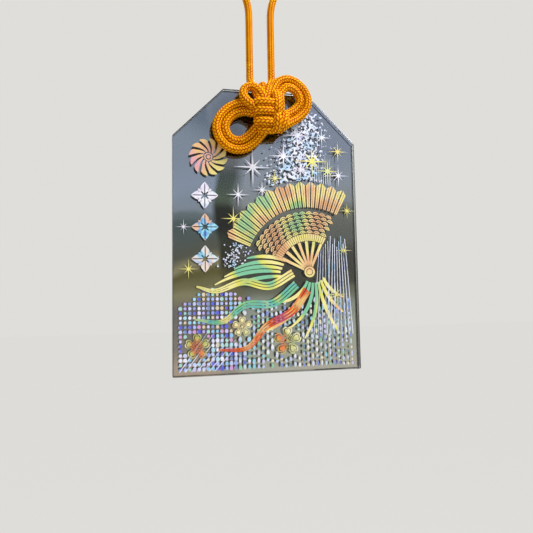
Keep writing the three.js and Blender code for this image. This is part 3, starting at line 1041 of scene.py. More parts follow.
@dataclass
class TiedKnot:
    """The double bow knot in front of the tablet, and the legs through its hole."""

    braid: Braid
    finish: Material
    strands: tuple[Strand, ...] = (
        Strand("knot_ring", (
            (-1, 3.4, -3.9), (-1.65, 3.4, -2.2), (-2.55, 3.2, -0.85), (-4.05, 2.8, 0),
            (-5.6, 2.6, -0.55), (-6.2, 2.8, -1.85), (-5.8, 3.4, -3.35), (-4.8, 4, -4.55),
            (-3.6, 4, -5.4), (-2, 3.4, -6),
        )),
        Strand("knot_left_ear_outer", (
            (-1.6, 3.4, -4.9), (-4, 2.7, -4.4), (-6.1, 1.9, -3.9), (-8.1, 1.45, -4.35),
            (-10.25, 1.35, -5.8), (-11.8, 1.35, -7.8), (-12.35, 1.35, -10.1), (-11.6, 1.35, -12.6),
            (-10, 1.35, -14.35), (-8, 1.35, -15.1), (-5.6, 1.45, -14.8), (-3.4, 1.85, -13.35),
            (-1.9, 2.5, -11.6), (-0.4, 3.4, -9.7),
        )),
        Strand("knot_left_ear_inner", (
            (-1.7, 3.4, -6.8), (-4.1, 2.7, -6.4), (-6.1, 1.95, -6), (-8, 1.45, -6.65),
            (-9.55, 1.35, -8.05), (-10.25, 1.35, -9.7), (-9.95, 1.35, -11.3), (-8.9, 1.35, -12.55),
            (-6.75, 1.35, -12.9), (-4.65, 1.75, -11.6), (-3.15, 2.45, -10), (-1.5, 3.4, -8.3),
        )),
        Strand("knot_right_ear_outer", (
            (0.3, 3.4, -2.4), (1.2, 3, -0.25), (2.4, 2.6, 1.55), (4.6, 2.4, 2.5), (7, 2.2, 1.95),
            (9, 2, 0.2), (10, 1.8, -2), (9.65, 1.65, -4.25), (7.9, 1.6, -6.4), (5.3, 2, -8.1),
            (2.5, 2.8, -9.75), (0.3, 3.4, -10.4),
        )),
        Strand("knot_right_ear_inner", (
            (1.9, 3.4, -2.9), (2.9, 2.95, -1.1), (4.5, 2.65, 0.4), (6.35, 2.4, 0.05),
            (7.6, 2.1, -1.3), (7.85, 1.8, -3), (6.5, 1.7, -4.8), (4.3, 2.15, -6.2),
            (1.85, 3.4, -7.8),
        )),
        Strand("knot_top_turn_upper", (
            (-3.5, 3.4, -4.4), (-2.9, 4.9, -4.5), (-1.4, 5.5, -4.55), (0.2, 5.2, -4.5),
            (1.4, 3.8, -4.3),
        )),
        Strand("knot_top_turn_lower", (
            (-3.5, 3.4, -6.2), (-2.9, 4.9, -6.4), (-1.4, 5.35, -6.5), (0.2, 5, -6.4),
            (1.4, 3.8, -6.1),
        )),
        Strand("knot_side_turn_left", (
            (1.5, 3.4, -1.3), (1.45, 4.9, -3), (1.4, 5.6, -4.8), (1.35, 5.2, -6.3), (1.3, 3.9, -7),
        )),
        Strand("knot_side_turn_right", (
            (2.6, 3.2, -1.6), (2.45, 4.1, -3), (2.4, 4.4, -4.7), (2.4, 4.1, -6.1),
            (2.5, 3.2, -6.9),
        )),
        Strand("knot_low_turn_upper", (
            (-3.3, 3.2, -8.5), (-2.7, 4.5, -8.8), (-1.3, 5, -8.95), (0.1, 4.6, -8.9),
            (1.3, 3.4, -8.6),
        )),
        Strand("knot_low_turn_lower", (
            (-2.6, 2.8, -10.2), (-1.9, 3.5, -10.5), (-0.9, 3.8, -10.6), (0.2, 3.5, -10.5),
            (1.2, 2.8, -10.2),
        )),
        Strand("knot_foot_turn_left", (
            (1.4, 3.6, -6.3), (1.5, 5, -7.4), (1.5, 5.3, -8.8), (1.45, 4.6, -10), (1.3, 3, -10.7),
        )),
        Strand("knot_foot_turn_right", (
            (3.7, 3.2, -6.2), (3.55, 4.3, -7.5), (3.2, 4.6, -8.85), (2.7, 4, -10), (2, 2.9, -10.7),
        )),
        Strand("knot_middle_turn", (
            (-2.8, 3.2, -7.4), (-1.2, 3.6, -7.6), (0.6, 3.6, -7.6), (2.6, 3.1, -7.3),
        )),
    )
    leg_sides: tuple[tuple[str, float], ...] = (("left", -0.85), ("right", 1.0))
    leg_radius: float = 0.98
    hole_rise: float = -5.15
    behind_depth: float = -3.275
    over_rise: float = 1.275
    leg_bend: float = 1.3

    def leg(self, x: float) -> tuple[Place, ...]:
        """Leads a leg out of the knot, through the hole, up the back and over the top edge.

        Args:
            x: where the leg lies across the tablet.

        Returns:
            Its route.
        """
        hole, behind, over, bend = self.hole_rise, self.behind_depth, self.over_rise, self.leg_bend
        corner = bend * (1 - math.sqrt(0.5))
        return (
            (x, 3.4, hole), (x, 1.7, hole), (x, 0, hole), (x, behind + bend, hole),
            (x, behind + corner, hole + corner), (x, behind, hole + bend),
            (x, behind, over - bend), (x, behind + corner / 2, over - corner),
            (x, behind + bend, over), (x, 0.45, over), (x, 1.75, 0.15), (x, 2.575, -1.425),
            (x, 3.4, -3),
        )

    def build(self) -> None:
        """Braids every turn of the knot, and both legs."""
        radii = (self.leg_radius, self.leg_radius)
        legs = [Strand("knot_leg_" + side, self.leg(x), *radii) for side, x in self.leg_sides]
        for strand in (*self.strands, *legs):
            piece, _ = self.braid.skin(strand)
            piece.data.materials.append(self.finish)
            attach(piece, Body.KNOT.value)
            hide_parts("tied_knot")


@dataclass
class Tablet:
    """The acrylic sheet and its mirror coat. Lengths are in millimetres."""

    nodes: dict[str, Piece]
    width: float = 45.0
    height: float = TABLET_HEIGHT
    corner_cut: float = 12.0
    sheet: float = 1.75
    edge_break: float = 0.2
    hole_radius: float = 2.5
    hole_drop: float = 5.5
    hole_sides: int = 48
    hole_margin: float = 1.0
    foil_lift: float = 0.006
    coat_bite: float = 0.012
    flat_angle: float = 0.01
    sharp_angle: float = math.radians(70)
    facing: float = 0.95

    def outline(self) -> list[Flat]:
        """The tablet's outline, from its lower left corner.

        Returns:
            Its six corners, counter-clockwise.
        """
        half, shoulder = self.width / 2, self.width / 2 - self.corner_cut
        return [
            (-half, -self.height), (half, -self.height), (half, -self.corner_cut),
            (shoulder, 0), (-shoulder, 0), (-half, -self.corner_cut),
        ]

    def drawing(self) -> Piece:
        """Draws the tablet's flat shape with its hole, and makes it a mesh.

        Returns:
            The flat piece, selected and active, with its rises along Y.
        """
        curve = bpy.data.curves.new("acrylic_plate", "CURVE")
        curve.dimensions = "2D"
        curve.fill_mode = "BOTH"
        step = 2 * math.pi / self.hole_sides
        middle = (0, -self.hole_drop)
        hole = [around(middle, self.hole_radius, i * step) for i in range(self.hole_sides)]
        for ring in (self.outline(), hole):
            spline = curve.splines.new("POLY")
            spline.points.add(len(ring) - 1)
            spline.use_cyclic_u = True
            for point, (x, rise) in zip(spline.points, ring):
                point.co = (x * MM, rise * MM, 0.0, 1.0)
        piece = bpy.data.objects.new("acrylic_plate", curve)
        bpy.context.scene.collection.objects.link(piece)
        bpy.ops.object.select_all(action="DESELECT")
        bpy.context.view_layer.objects.active = piece
        piece.select_set(True)
        bpy.ops.object.convert(target="MESH")
        return piece

    def plate(self) -> Piece:
        """Makes the clear sheet, from a hair behind the foil to a hair into the mirror coat.

        Returns:
            The sheet, with its outer edges broken.
        """
        piece = self.drawing()
        back = place(0, -(self.sheet + self.coat_bite), 0)
        front = place(0, -self.foil_lift, 0)
        upright = Euler((math.pi / 2, 0, 0)).to_matrix().to_4x4()
        piece.data.transform(Matrix.Translation(back) @ upright)
        bpy.ops.object.mode_set(mode="EDIT")
        bpy.ops.mesh.select_mode(type="EDGE")
        bpy.ops.mesh.select_all(action="SELECT")
        bpy.ops.mesh.dissolve_limited(angle_limit=self.flat_angle)
        bpy.ops.mesh.extrude_region_move(
            TRANSFORM_OT_translate={"value": (0, front.y - back.y, 0)},
        )
        bpy.ops.mesh.select_all(action="SELECT")
        bpy.ops.mesh.normals_make_consistent(inside=False)
        bpy.ops.mesh.select_all(action="DESELECT")
        bpy.ops.mesh.edges_select_sharp(sharpness=self.sharp_angle)
        bpy.ops.mesh.bevel(offset=self.edge_break * MM, segments=1)
        bpy.ops.object.mode_set(mode="OBJECT")
        piece.select_set(False)
        return piece

    def cut(self, face: bpy.types.MeshPolygon) -> bool:
        """Whether a face belongs to the cut edges, and not to the sheet's faces or its hole.

        Args:
            face: a face of the plate.

        Returns:
            Whether it does.
        """
        off = face.center - place(0, 0, -self.hole_drop)
        outside = math.hypot(off.x, off.z) > (self.hole_radius + self.hole_margin) * MM
        return abs(face.normal.y) < self.facing and outside

    def dress(self, node: str, material: Material) -> None:
        """Gives a CAD node another material.

        Args:
            node: the node.
            material: the material.
        """
        for slot in self.nodes[node].material_slots:
            slot.link = "OBJECT"
            slot.material = material
        LOG.info("%s: dressed in %s", node, material.name)

    def build(self) -> None:
        """Makes the plate, and dresses the coat."""
        plate = self.plate()
        acrylic = AcrylicFinish()
        plate.data.materials.append(acrylic.faces())
        plate.data.materials.append(acrylic.edges())
        for face in plate.data.polygons:
            face.material_index = int(self.cut(face))
        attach(plate, Body.TABLET.value)
        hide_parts("acrylic_sheet")
        LOG.info("%s: %d faces", plate.name, len(plate.data.polygons))
        self.dress("mirror_backing", MirrorFinish().material())


class Foil:
    """One piece of foil, drawn flat in edit mode on the tablet's front and then raised.

    Outlines are lists of flat places, and run anticlockwise.
    """

    FACING = (math.pi / 2, 0.0, 0.0)

    def __init__(self, name: str, thickness: float) -> None:
        """Starts an empty piece and enters edit mode.

        Args:
            name: the piece's name.
            thickness: how far it stands off the tablet, in millimetres.
        """
        bpy.ops.object.select_all(action="DESELECT")
        bpy.ops.object.add(type="MESH", enter_editmode=True, location=(0, 0, 0), rotation=(0, 0, 0))
        bpy.ops.mesh.select_mode(type="FACE")
        self.piece = bpy.context.object
        self.piece.name = self.piece.data.name = name
        self.thickness = thickness

    def form(self) -> bmesh.types.BMesh:
        """The mesh that is being edited.

        Returns:
            The mesh, with its corners in a list.
        """
        form = bmesh.from_edit_mesh(self.piece.data)
        form.verts.ensure_lookup_table()
        return form

    def shape(self, outline: Sequence[Flat]) -> None:
        """Adds a closed shape: a filled circle, each of whose corners is drawn to its place.

        Args:
            outline: the shape's corners.
        """
        bpy.ops.mesh.primitive_circle_add(
            vertices=len(outline), radius=MM, fill_type="NGON", location=place(0, 0, 0),
            rotation=self.FACING,
        )
        for vertex, (x, rise) in zip(self.form().verts[-len(outline):], outline):
            vertex.co = place(x, 0.0, rise)

    def disc(self, middle: Flat, radius: float, sides: int = 8, turn: float = 0.0) -> None:
        """Adds a round or many-sided dot.

        Args:
            middle: its middle.
            radius: its radius.
            sides: how many sides it has.
            turn: how far it is turned.
        """
        bpy.ops.mesh.primitive_circle_add(
            vertices=sides, radius=radius * MM, fill_type="NGON",
            location=place(middle[0], 0, middle[1]), rotation=(math.pi / 2, turn, 0.0),
        )

    def band(self, middle: Flat, radius: float, width: float, sides: int) -> None:
        """Adds a round band.

        Args:
            middle: its middle.
            radius: its outer radius.
            width: its width, inside that radius.
            sides: how many sides it has.
        """
        self.disc(middle, radius, sides)
        bpy.ops.mesh.inset(thickness=width * MM)
        bpy.ops.mesh.delete(type="FACE")

    def stroke(self, points: Sequence[Flat], widths: Sequence[float]) -> None:
        """Adds a stroke.

        Args:
            points: the places that it runs along.
            widths: its width at each of them.
        """
        left, right = [], []
        for i, (x, rise) in enumerate(points):
            before, after = points[max(i - 1, 0)], points[min(i + 1, len(points) - 1)]
            along, up = after[0] - before[0], after[1] - before[1]
            aside = widths[i] / 2 / math.hypot(along, up)
            left.append((x - up * aside, rise + along * aside))
            right.append((x + up * aside, rise - along * aside))
        self.shape([*right, *reversed(left)])

    def star(self, middle: Flat, long: float, slant: float, waist: float) -> None:
        """Adds a sparkle.

        Args:
            middle: its middle.
            long: how far its four upright and level arms reach.
            slant: how far its four slanting arms reach.
            waist: how far out two arms meet.
        """
        reach = (long, waist, slant, waist)
        self.shape([around(middle, reach[i % 4], i * math.pi / 8) for i in range(16)])

    def copies(self, count: int, step: float, middle: Flat) -> None:
        """Copies the newest shape round a middle.

        Args:
            count: how many there are in the end.
            step: the angle from each to the next.
            middle: the middle.
        """
        bpy.ops.mesh.spin(
            steps=count - 1, dupli=True, angle=step * (count - 1), use_auto_merge=False,
            center=place(middle[0], 0, middle[1]), axis=(0, 1, 0),
        )

    def press(self, finish: Material, slot: Slot, *nodes: str) -> None:
        """Raises the shapes to their thickness, and presses them on the tablet.

        Args:
            finish: the foil's material.
            slot: not used.
            *nodes: the CAD nodes that the piece stands for.
        """
        bpy.ops.mesh.select_all(action="SELECT")
        bpy.ops.mesh.extrude_region_move(
            TRANSFORM_OT_translate={"value": (0, -self.thickness * MM, 0)},
        )
        bpy.ops.mesh.select_all(action="SELECT")
        bpy.ops.mesh.normals_make_consistent(inside=False)
        bpy.ops.object.mode_set(mode="OBJECT")
        self.piece.data.materials.append(finish)
        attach(self.piece, Body.TABLET.value)
        if nodes:
            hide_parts(*nodes)
        LOG.info("%s: %d faces", self.piece.name, len(self.piece.data.polygons))
        self.piece.select_set(False)


@dataclass
class Fan:
    """The open folding fan, printed in strokes."""

    pivot: Flat = (9.99, -44.01)
    radius: float = 22.005
    paper: float = 14.49
    fold_depth: float = 0.9
    folds: int = 13
    start: float = math.radians(62)
    end: float = math.radians(158)
    inner_band: float = 1.7
    wave_band: float = 6.1
    band_gap: float = 0.4
    seam: float = 0.12
    outer_seam: float = 0.34
    first_wave: float = 0.5
    wave_pitch: float = 1.75
    wave_step: float = 0.92
    wave_reaches: tuple[float, ...] = (0.85, 0.45)
    wave_width: float = 0.25
    wave_spread: float = 1.3
    wave_points: int = 9
    rib_widths: Flat = (0.56, 0.7)
    disc: float = 1.305
    disc_band: float = 0.45
    eye_gap: float = 0.62
    disc_sides: int = 24
    eye_sides: int = 16

    def build(self, finish: Material) -> None:
        """Draws the fan, and presses it on in place of its CAD node.

        Args:
            finish: the foil's material.
        """
        foil = Foil("fan_foil", FOIL_THICKNESS)
        self.folded_paper(foil)
        self.waves(foil)
        self.ribs(foil)
        foil.press(finish, Slot.GOLD, "foil_fan")

    def strip(self, foil: Foil, near: float, seam: float, edges: Flat, tips: Flat) -> None:
        """Draws one strip of folded paper, and copies it from fold to fold.

        Args:
            foil: the fan's foil.
            near: the radius where the strip starts.
            seam: the gap beside an edge that lies on a fold.
            edges: its two edges, counted in half folds from the fan's start.
            tips: the radius that it reaches at each edge.
        """
        half = (self.end - self.start) / self.folds / 2
        outline = []
        for radius, edge, way in (
            (near, edges[0], 1), (tips[0], edges[0], 1),
            (tips[1], edges[1], -1), (near, edges[1], -1),
        ):
            gap = seam if edge == int(edge) else self.seam
            angle = self.start + edge * half + way * gap / 2 / radius
            outline.append(around(self.pivot, radius, angle))
        foil.shape(outline)
        foil.copies(self.folds, 2 * half, self.pivot)

    def folded_paper(self, foil: Foil) -> None:
        """Draws the paper's inner band and its pleated rim.

        Args:
            foil: the fan's foil.
        """
        inner = self.radius - self.paper
        band = inner + self.inner_band
        for edge in (0, 1):
            self.strip(foil, inner, self.seam, (edge, edge + 1), (band, band))
        rim = band + self.wave_band + self.band_gap
        low, half_way = self.radius - self.fold_depth, self.radius - self.fold_depth / 2
        for edge, tips in (
            (0, (low, half_way)), (0.5, (half_way, self.radius)),
            (1, (self.radius, half_way)), (1.5, (half_way, low)),
        ):
            self.strip(foil, rim, self.outer_seam, (edge, edge + 0.5), tips)

    def waves(self, foil: Foil) -> None:
        """Draws the rows of waves across the paper, each wave two arcs.

        Args:
            foil: the fan's foil.
        """
        first = self.radius - self.paper + self.inner_band + self.first_wave
        spread = 2 * self.wave_spread / (self.wave_points - 1)
        for row in range(int(self.wave_band / self.wave_step)):
            radius = first + row * self.wave_step
            odd = row % 2
            count = round((self.end - self.start) * radius / self.wave_pitch) - odd
            step = (self.end - self.start) / (count + odd)
            angle = self.start + (1 + odd) / 2 * step
            middle = around(self.pivot, radius - self.wave_step / 2, angle)
            turns = [angle - self.wave_spread + spread * i for i in range(self.wave_points)]
            for reach in self.wave_reaches:
                outside = [around(middle, reach, turn) for turn in turns]
                inside = [around(middle, reach - self.wave_width, turn) for turn in turns]
                foil.shape([*outside, *reversed(inside)])
                foil.copies(count, step, self.pivot)

    def ribs(self, foil: Foil) -> None:
        """Draws a rib under every other fold, and the disc that joins them.

        Args:
            foil: the fan's foil.
        """
        fold = (self.end - self.start) / self.folds
        reaches = (self.disc + self.seam, self.radius - self.paper - self.seam)
        rib = [around(self.pivot, reach, self.start + fold / 2) for reach in reaches]
        foil.stroke(rib, self.rib_widths)
        foil.copies((self.folds + 1) // 2, 2 * fold, self.pivot)
        foil.band(self.pivot, self.disc, self.disc_band, self.disc_sides)
        foil.disc(self.pivot, self.disc - self.eye_gap, self.eye_sides)


@dataclass
class Trails:
    """Three broad ribbons and many thin streamers, which trail from the fan's pivot."""

    width: float = 2.0
    tip: float = 0.4
    strand_gap: float = 0.36
    strand_share: float = 0.27
    steps: int = 36
    routes: dict[str, tuple[Flat, ...]] = field(default_factory=lambda: {
        "upper": ((5.85, -44.24), (0, -47.25), (-6.3, -46.26), (-12.6, -48.29), (-17.1, -47.25)),
        "middle": (
            (6.615, -46.98), (0.9, -51.3), (-5.85, -51.66), (-11.25, -55.35), (-17.55, -54.68),
        ),
        "lower": ((9.315, -48.33), (5.4, -53.33), (-0.9, -56.7), (-5.4, -61.43), (-12.15, -61.79)),
    })
    streamer_thickness: float = 0.06
    streamer_steps: int = 12
    streamer_widths: Flat = (0.25, 0.62)
    streamer_fullness: float = 0.8
    streamer_root: float = 0.12
    straight_share: float = 0.25
    bend_gain: float = 1.6
    # Each streamer: where it starts, its way and its bend in degrees, and its length.
    streamers: tuple[tuple[Flat, float, float, float], ...] = (
        ((3.6, -42.3), 168, 14, 12), ((3.2, -43.2), 172, 13, 14), ((2.8, -44.0), 176, 12, 16),
        ((4.1, -41.4), 162, 12, 9.5), ((3.0, -45.0), 182, 8, 13), ((9.4, -46.2), 240, -22, 9),
        ((10.0, -46.5), 252, -22, 11), ((10.7, -46.6), 264, -20, 12.5),
        ((11.4, -46.6), 274, -14, 13.5), ((12.1, -46.4), 283, 8, 13.5),
        ((12.8, -46.0), 291, 12, 9.5), ((13.4, -45.4), 298, 16, 7), ((7.6, -50.4), 238, -16, 12),
    )

    def ribbon(self, which: str, finish: Material, slot: Slot) -> None:
        """Draws one ribbon in three strands.

        Args:
            which: the ribbon's name among the routes.
            finish: its material.
            slot: its slot.
        """
        foil = Foil("ribbon_foil_" + which, FOIL_THICKNESS)
        line = flowing(self.routes[which], self.steps)
        narrowing = self.tip - self.width
        widths = [self.width + narrowing * (i / self.steps) ** 2 for i in range(self.steps + 1)]
        for side in (-1, 0, 1):
            points = []
            for i, here in enumerate(line):
                before, after = line[max(i - 1, 0)], line[min(i + 1, self.steps)]
                way = math.atan2(after[1] - before[1], after[0] - before[0])
                points.append(beside(here, way, 0.0, side * widths[i] * self.strand_gap))
            foil.stroke(points, [width * self.strand_share for width in widths])
        foil.press(finish, slot, "foil_ribbon_" + which)

    def stream(self, finish: Material) -> None:
        """Draws the streamers, thin at both ends.

        Args:
            finish: the foil's material.
        """
        foil = Foil("streamer_foil", self.streamer_thickness)
        shares = [i / self.streamer_steps for i in range(self.streamer_steps + 1)]
        thin, more = self.streamer_widths
        widths = []
        for share in shares:
            along = min(1.0, self.streamer_root + (1 - self.streamer_root) * share)
            widths.append(thin + more * math.sin(math.pi * along) ** self.streamer_fullness)
        for start, turn, bend, length in self.streamers:
            points = []
            for share in shares:
                bent = bend * (share - self.straight_share) * self.bend_gain
                points.append(around(start, length * share, math.radians(turn + bent)))
            foil.stroke(points, widths)
        foil.press(finish, Slot.GOLD)


@dataclass
class Motifs:
    """The small motifs: the rosette, three ornaments and three blossoms."""

    rosette_middle: Flat = (-14.175, -16.875)
    rosette_radius: float = 4.5
    rosette_notch: float = 3.87
    rosette_eye: float = 0.855
    eye_gap: float = 0.35
    eye_rim: float = 0.12
    eye_band: float = 0.28
    eye_inset: float = 0.4
    blades: int = 12
    blade_sweep: float = 0.55
    blade_lean: float = 0.05
    # Where a blade's edges and its rim's start lie, as shares of its turn.
    blade_edges: Flat = (0.1, 0.92)
    rim_fullness: float = 0.8
    blade_curl: float = 1.5
    eye_rounds: tuple[int, int] = (20, 12)
    rim_start: float = 0.12
    rim_steps: int = 8
    side_steps: int = 6
    ornament_x: float = -15.075
    ornament_reach: float = 3.15
    ornament_rises: dict[str, float] = field(
        default_factory=lambda: {"upper": -26.01, "middle": -33.435, "lower": -40.86},
    )
    blossoms: tuple[tuple[Flat, float], ...] = (
        ((4.185, -60.21), 3.35), ((-6.615, -56.61), 2.35), ((-17.01, -60.8), 2.85),
    )
    petals: int = 5
    # Half a petal and half a leaf, as shares of the reach: how far along, and how far aside.
    petal: tuple[Flat, ...] = (
        (0.2, 0.0), (0.36, 0.14), (0.55, 0.27), (0.74, 0.34), (0.9, 0.29), (1.0, 0.14), (0.9, 0.0),
    )
    leaf: tuple[Flat, ...] = (
        (0.14, 0.05), (0.3, 0.24), (0.5, 0.34), (0.7, 0.26), (0.88, 0.12), (1.0, 0.0), (0.8, 0.035),
        (0.2, 0.035),
    )
    # Further shares of the reach.
    bud_place: float = 0.52
    bud_reaches: Flat = (0.17, 0.1)
    petal_middle: float = 0.62
    petal_sizes: tuple[float, ...] = (1.0, 0.8, 0.58)
    stamen: Flat = (0.12, 0.42)
    stamen_width: float = 0.12
    anther_place: float = 0.46
    anther: float = 0.055
    heart: float = 0.1

    def rosette(self, finish: Material) -> None:
        """Draws the pinwheel: one curved blade, copied round, and a round eye.

        Args:
            finish: the foil's material.
        """
        foil = Foil("rosette_foil", FOIL_THICKNESS)
        turn = 2 * math.pi / self.blades
        root = self.rosette_eye + self.eye_gap
        first, tip = (share * turn for share in self.blade_edges)
        rim = []
        for i in range(self.rim_steps + 1):
            share = i / self.rim_steps
            swell = math.sin(share * math.pi / 2) ** self.rim_fullness
            reach = self.rosette_notch + (self.rosette_radius - self.rosette_notch) * swell
            angle = tip * share + self.rim_start * turn * (1 - share)
            rim.append(around(self.rosette_middle, reach, angle))
        sides = []
        for far, edge, lean in (
            (self.rosette_notch, first, self.blade_lean),
            (self.rosette_radius, tip, -self.blade_lean),
        ):
            side = []
            for i in range(self.side_steps):
                share = i / self.side_steps
                sweep = self.blade_sweep * (1 - share) ** self.blade_curl
                angle = edge - sweep + lean * (1 - share)
                side.append(around(self.rosette_middle, root + (far - root) * share, angle))
            sides.append(side)
        foil.shape([*sides[0], *rim, *reversed(sides[1])])
        foil.copies(self.blades, turn, self.rosette_middle)
        rim_sides, eye_sides = self.eye_rounds
        foil.band(self.rosette_middle, self.rosette_eye + self.eye_rim, self.eye_band, rim_sides)
        foil.disc(self.rosette_middle, self.rosette_eye - self.eye_inset, eye_sides)
        foil.press(finish, Slot.PEACH, "foil_rosette")

    def ornament(self, which: str, finish: Material) -> None:
        """Draws four pointed leaves, each with an open vein, and four buds between them.

        Args:
            which: the ornament's name among the rises.
            finish: its material.
        """
        foil = Foil("ornament_foil_" + which, FOIL_THICKNESS)
        middle, reach = (self.ornament_x, self.ornament_rises[which]), self.ornament_reach
        quarter = math.pi / 2
        half = [beside(middle, 0.0, along * reach, aside * reach) for along, aside in self.leaf]
        mirrored = [(x, 2 * middle[1] - rise) for x, rise in half]
        bud = around(middle, self.bud_place * reach, quarter / 2)
        diamond = [
            around(bud, self.bud_reaches[i % 2] * reach, quarter / 2 * (i + 1)) for i in range(8)
        ]
        for outline in (half[::-1], mirrored, diamond):
            foil.shape(outline)
            foil.copies(4, quarter, middle)
        foil.press(finish, Slot.SILVER, "foil_ornament_" + which)

    def petal_rings(self, middle: Flat, reach: float) -> list[list[Flat]]:
        """Finds the outlines of a petal: its rim, the gap inside it and its filled middle.

        Args:
            middle: the blossom's middle.
            reach: how far its petals reach.

        Returns:
            The three outlines.
        """
        rings = []
        for size in self.petal_sizes:
            ring = []
            for side in (-1, 1):
                points = [
                    (self.petal_middle + (along - self.petal_middle) * size, side * aside * size)
                    for along, aside in self.petal
                ]
                ring += points[:-1] if side < 0 else points[:0:-1]
            rings.append([
                beside(middle, math.pi / 2, along * reach, aside * reach) for along, aside in ring
            ])
        return rings

    def blossom(self, number: int, finish: Material) -> None:
        """Draws a blossom: five notched petals, each a rim round a filled middle, and its stamens.

        Args:
            number: which blossom, from 1.
            finish: its material.
        """
        foil = Foil(f"blossom_foil_{number}", FOIL_THICKNESS)
        middle, reach = self.blossoms[number - 1]
        step = 2 * math.pi / self.petals
        between_petals = math.pi / 2 + step / 2
        rim, gap, filled = self.petal_rings(middle, reach)
        for i in range(len(rim)):
            j = (i + 1) % len(rim)
            foil.shape([rim[i], rim[j], gap[j], gap[i]])
            foil.copies(self.petals, step, middle)
        foil.shape(filled)
        foil.copies(self.petals, step, middle)
        stamen = [around(middle, share * reach, between_petals) for share in self.stamen]
        foil.stroke(stamen, (self.stamen_width,) * 2)
        foil.copies(self.petals, step, middle)
        foil.disc(around(middle, self.anther_place * reach, between_petals), self.anther * reach, 6)
        foil.copies(self.petals, step, middle)
        foil.disc(middle, self.heart * reach, 10)
        foil.press(finish, Slot.PEACH, f"foil_blossom_{number}")


@dataclass(frozen=True)
class Rays:
    """A group of straight rays, spread evenly from a first one to a last one.

    Each ray is drawn from its start to its end, and as wide at each as given.
    The starts hang lower by turns, by up to the uneven length.
    """

    count: int
    starts: tuple[Flat, Flat]
    ends: tuple[Flat, Flat]
    widths: Flat
    uneven: float = 0.0

    def draw(self, foil: Foil) -> None:
        """Draws the rays.

        Args:
            foil: the foil that they are drawn on.
        """
        for i in range(self.count):
            share = i / (self.count - 1)
            x, rise = between(*self.starts, share)
            start = (x, rise - self.uneven * (i * 3 % 5) / 4)
            foil.stroke([start, between(*self.ends, share)], self.widths)


@dataclass(frozen=True)
class Cloud:
    """A cloud of scattered flecks, from its head to its foot, and as wide at each as given."""

    head: Flat
    foot: Flat
    widths: Flat
    count: int


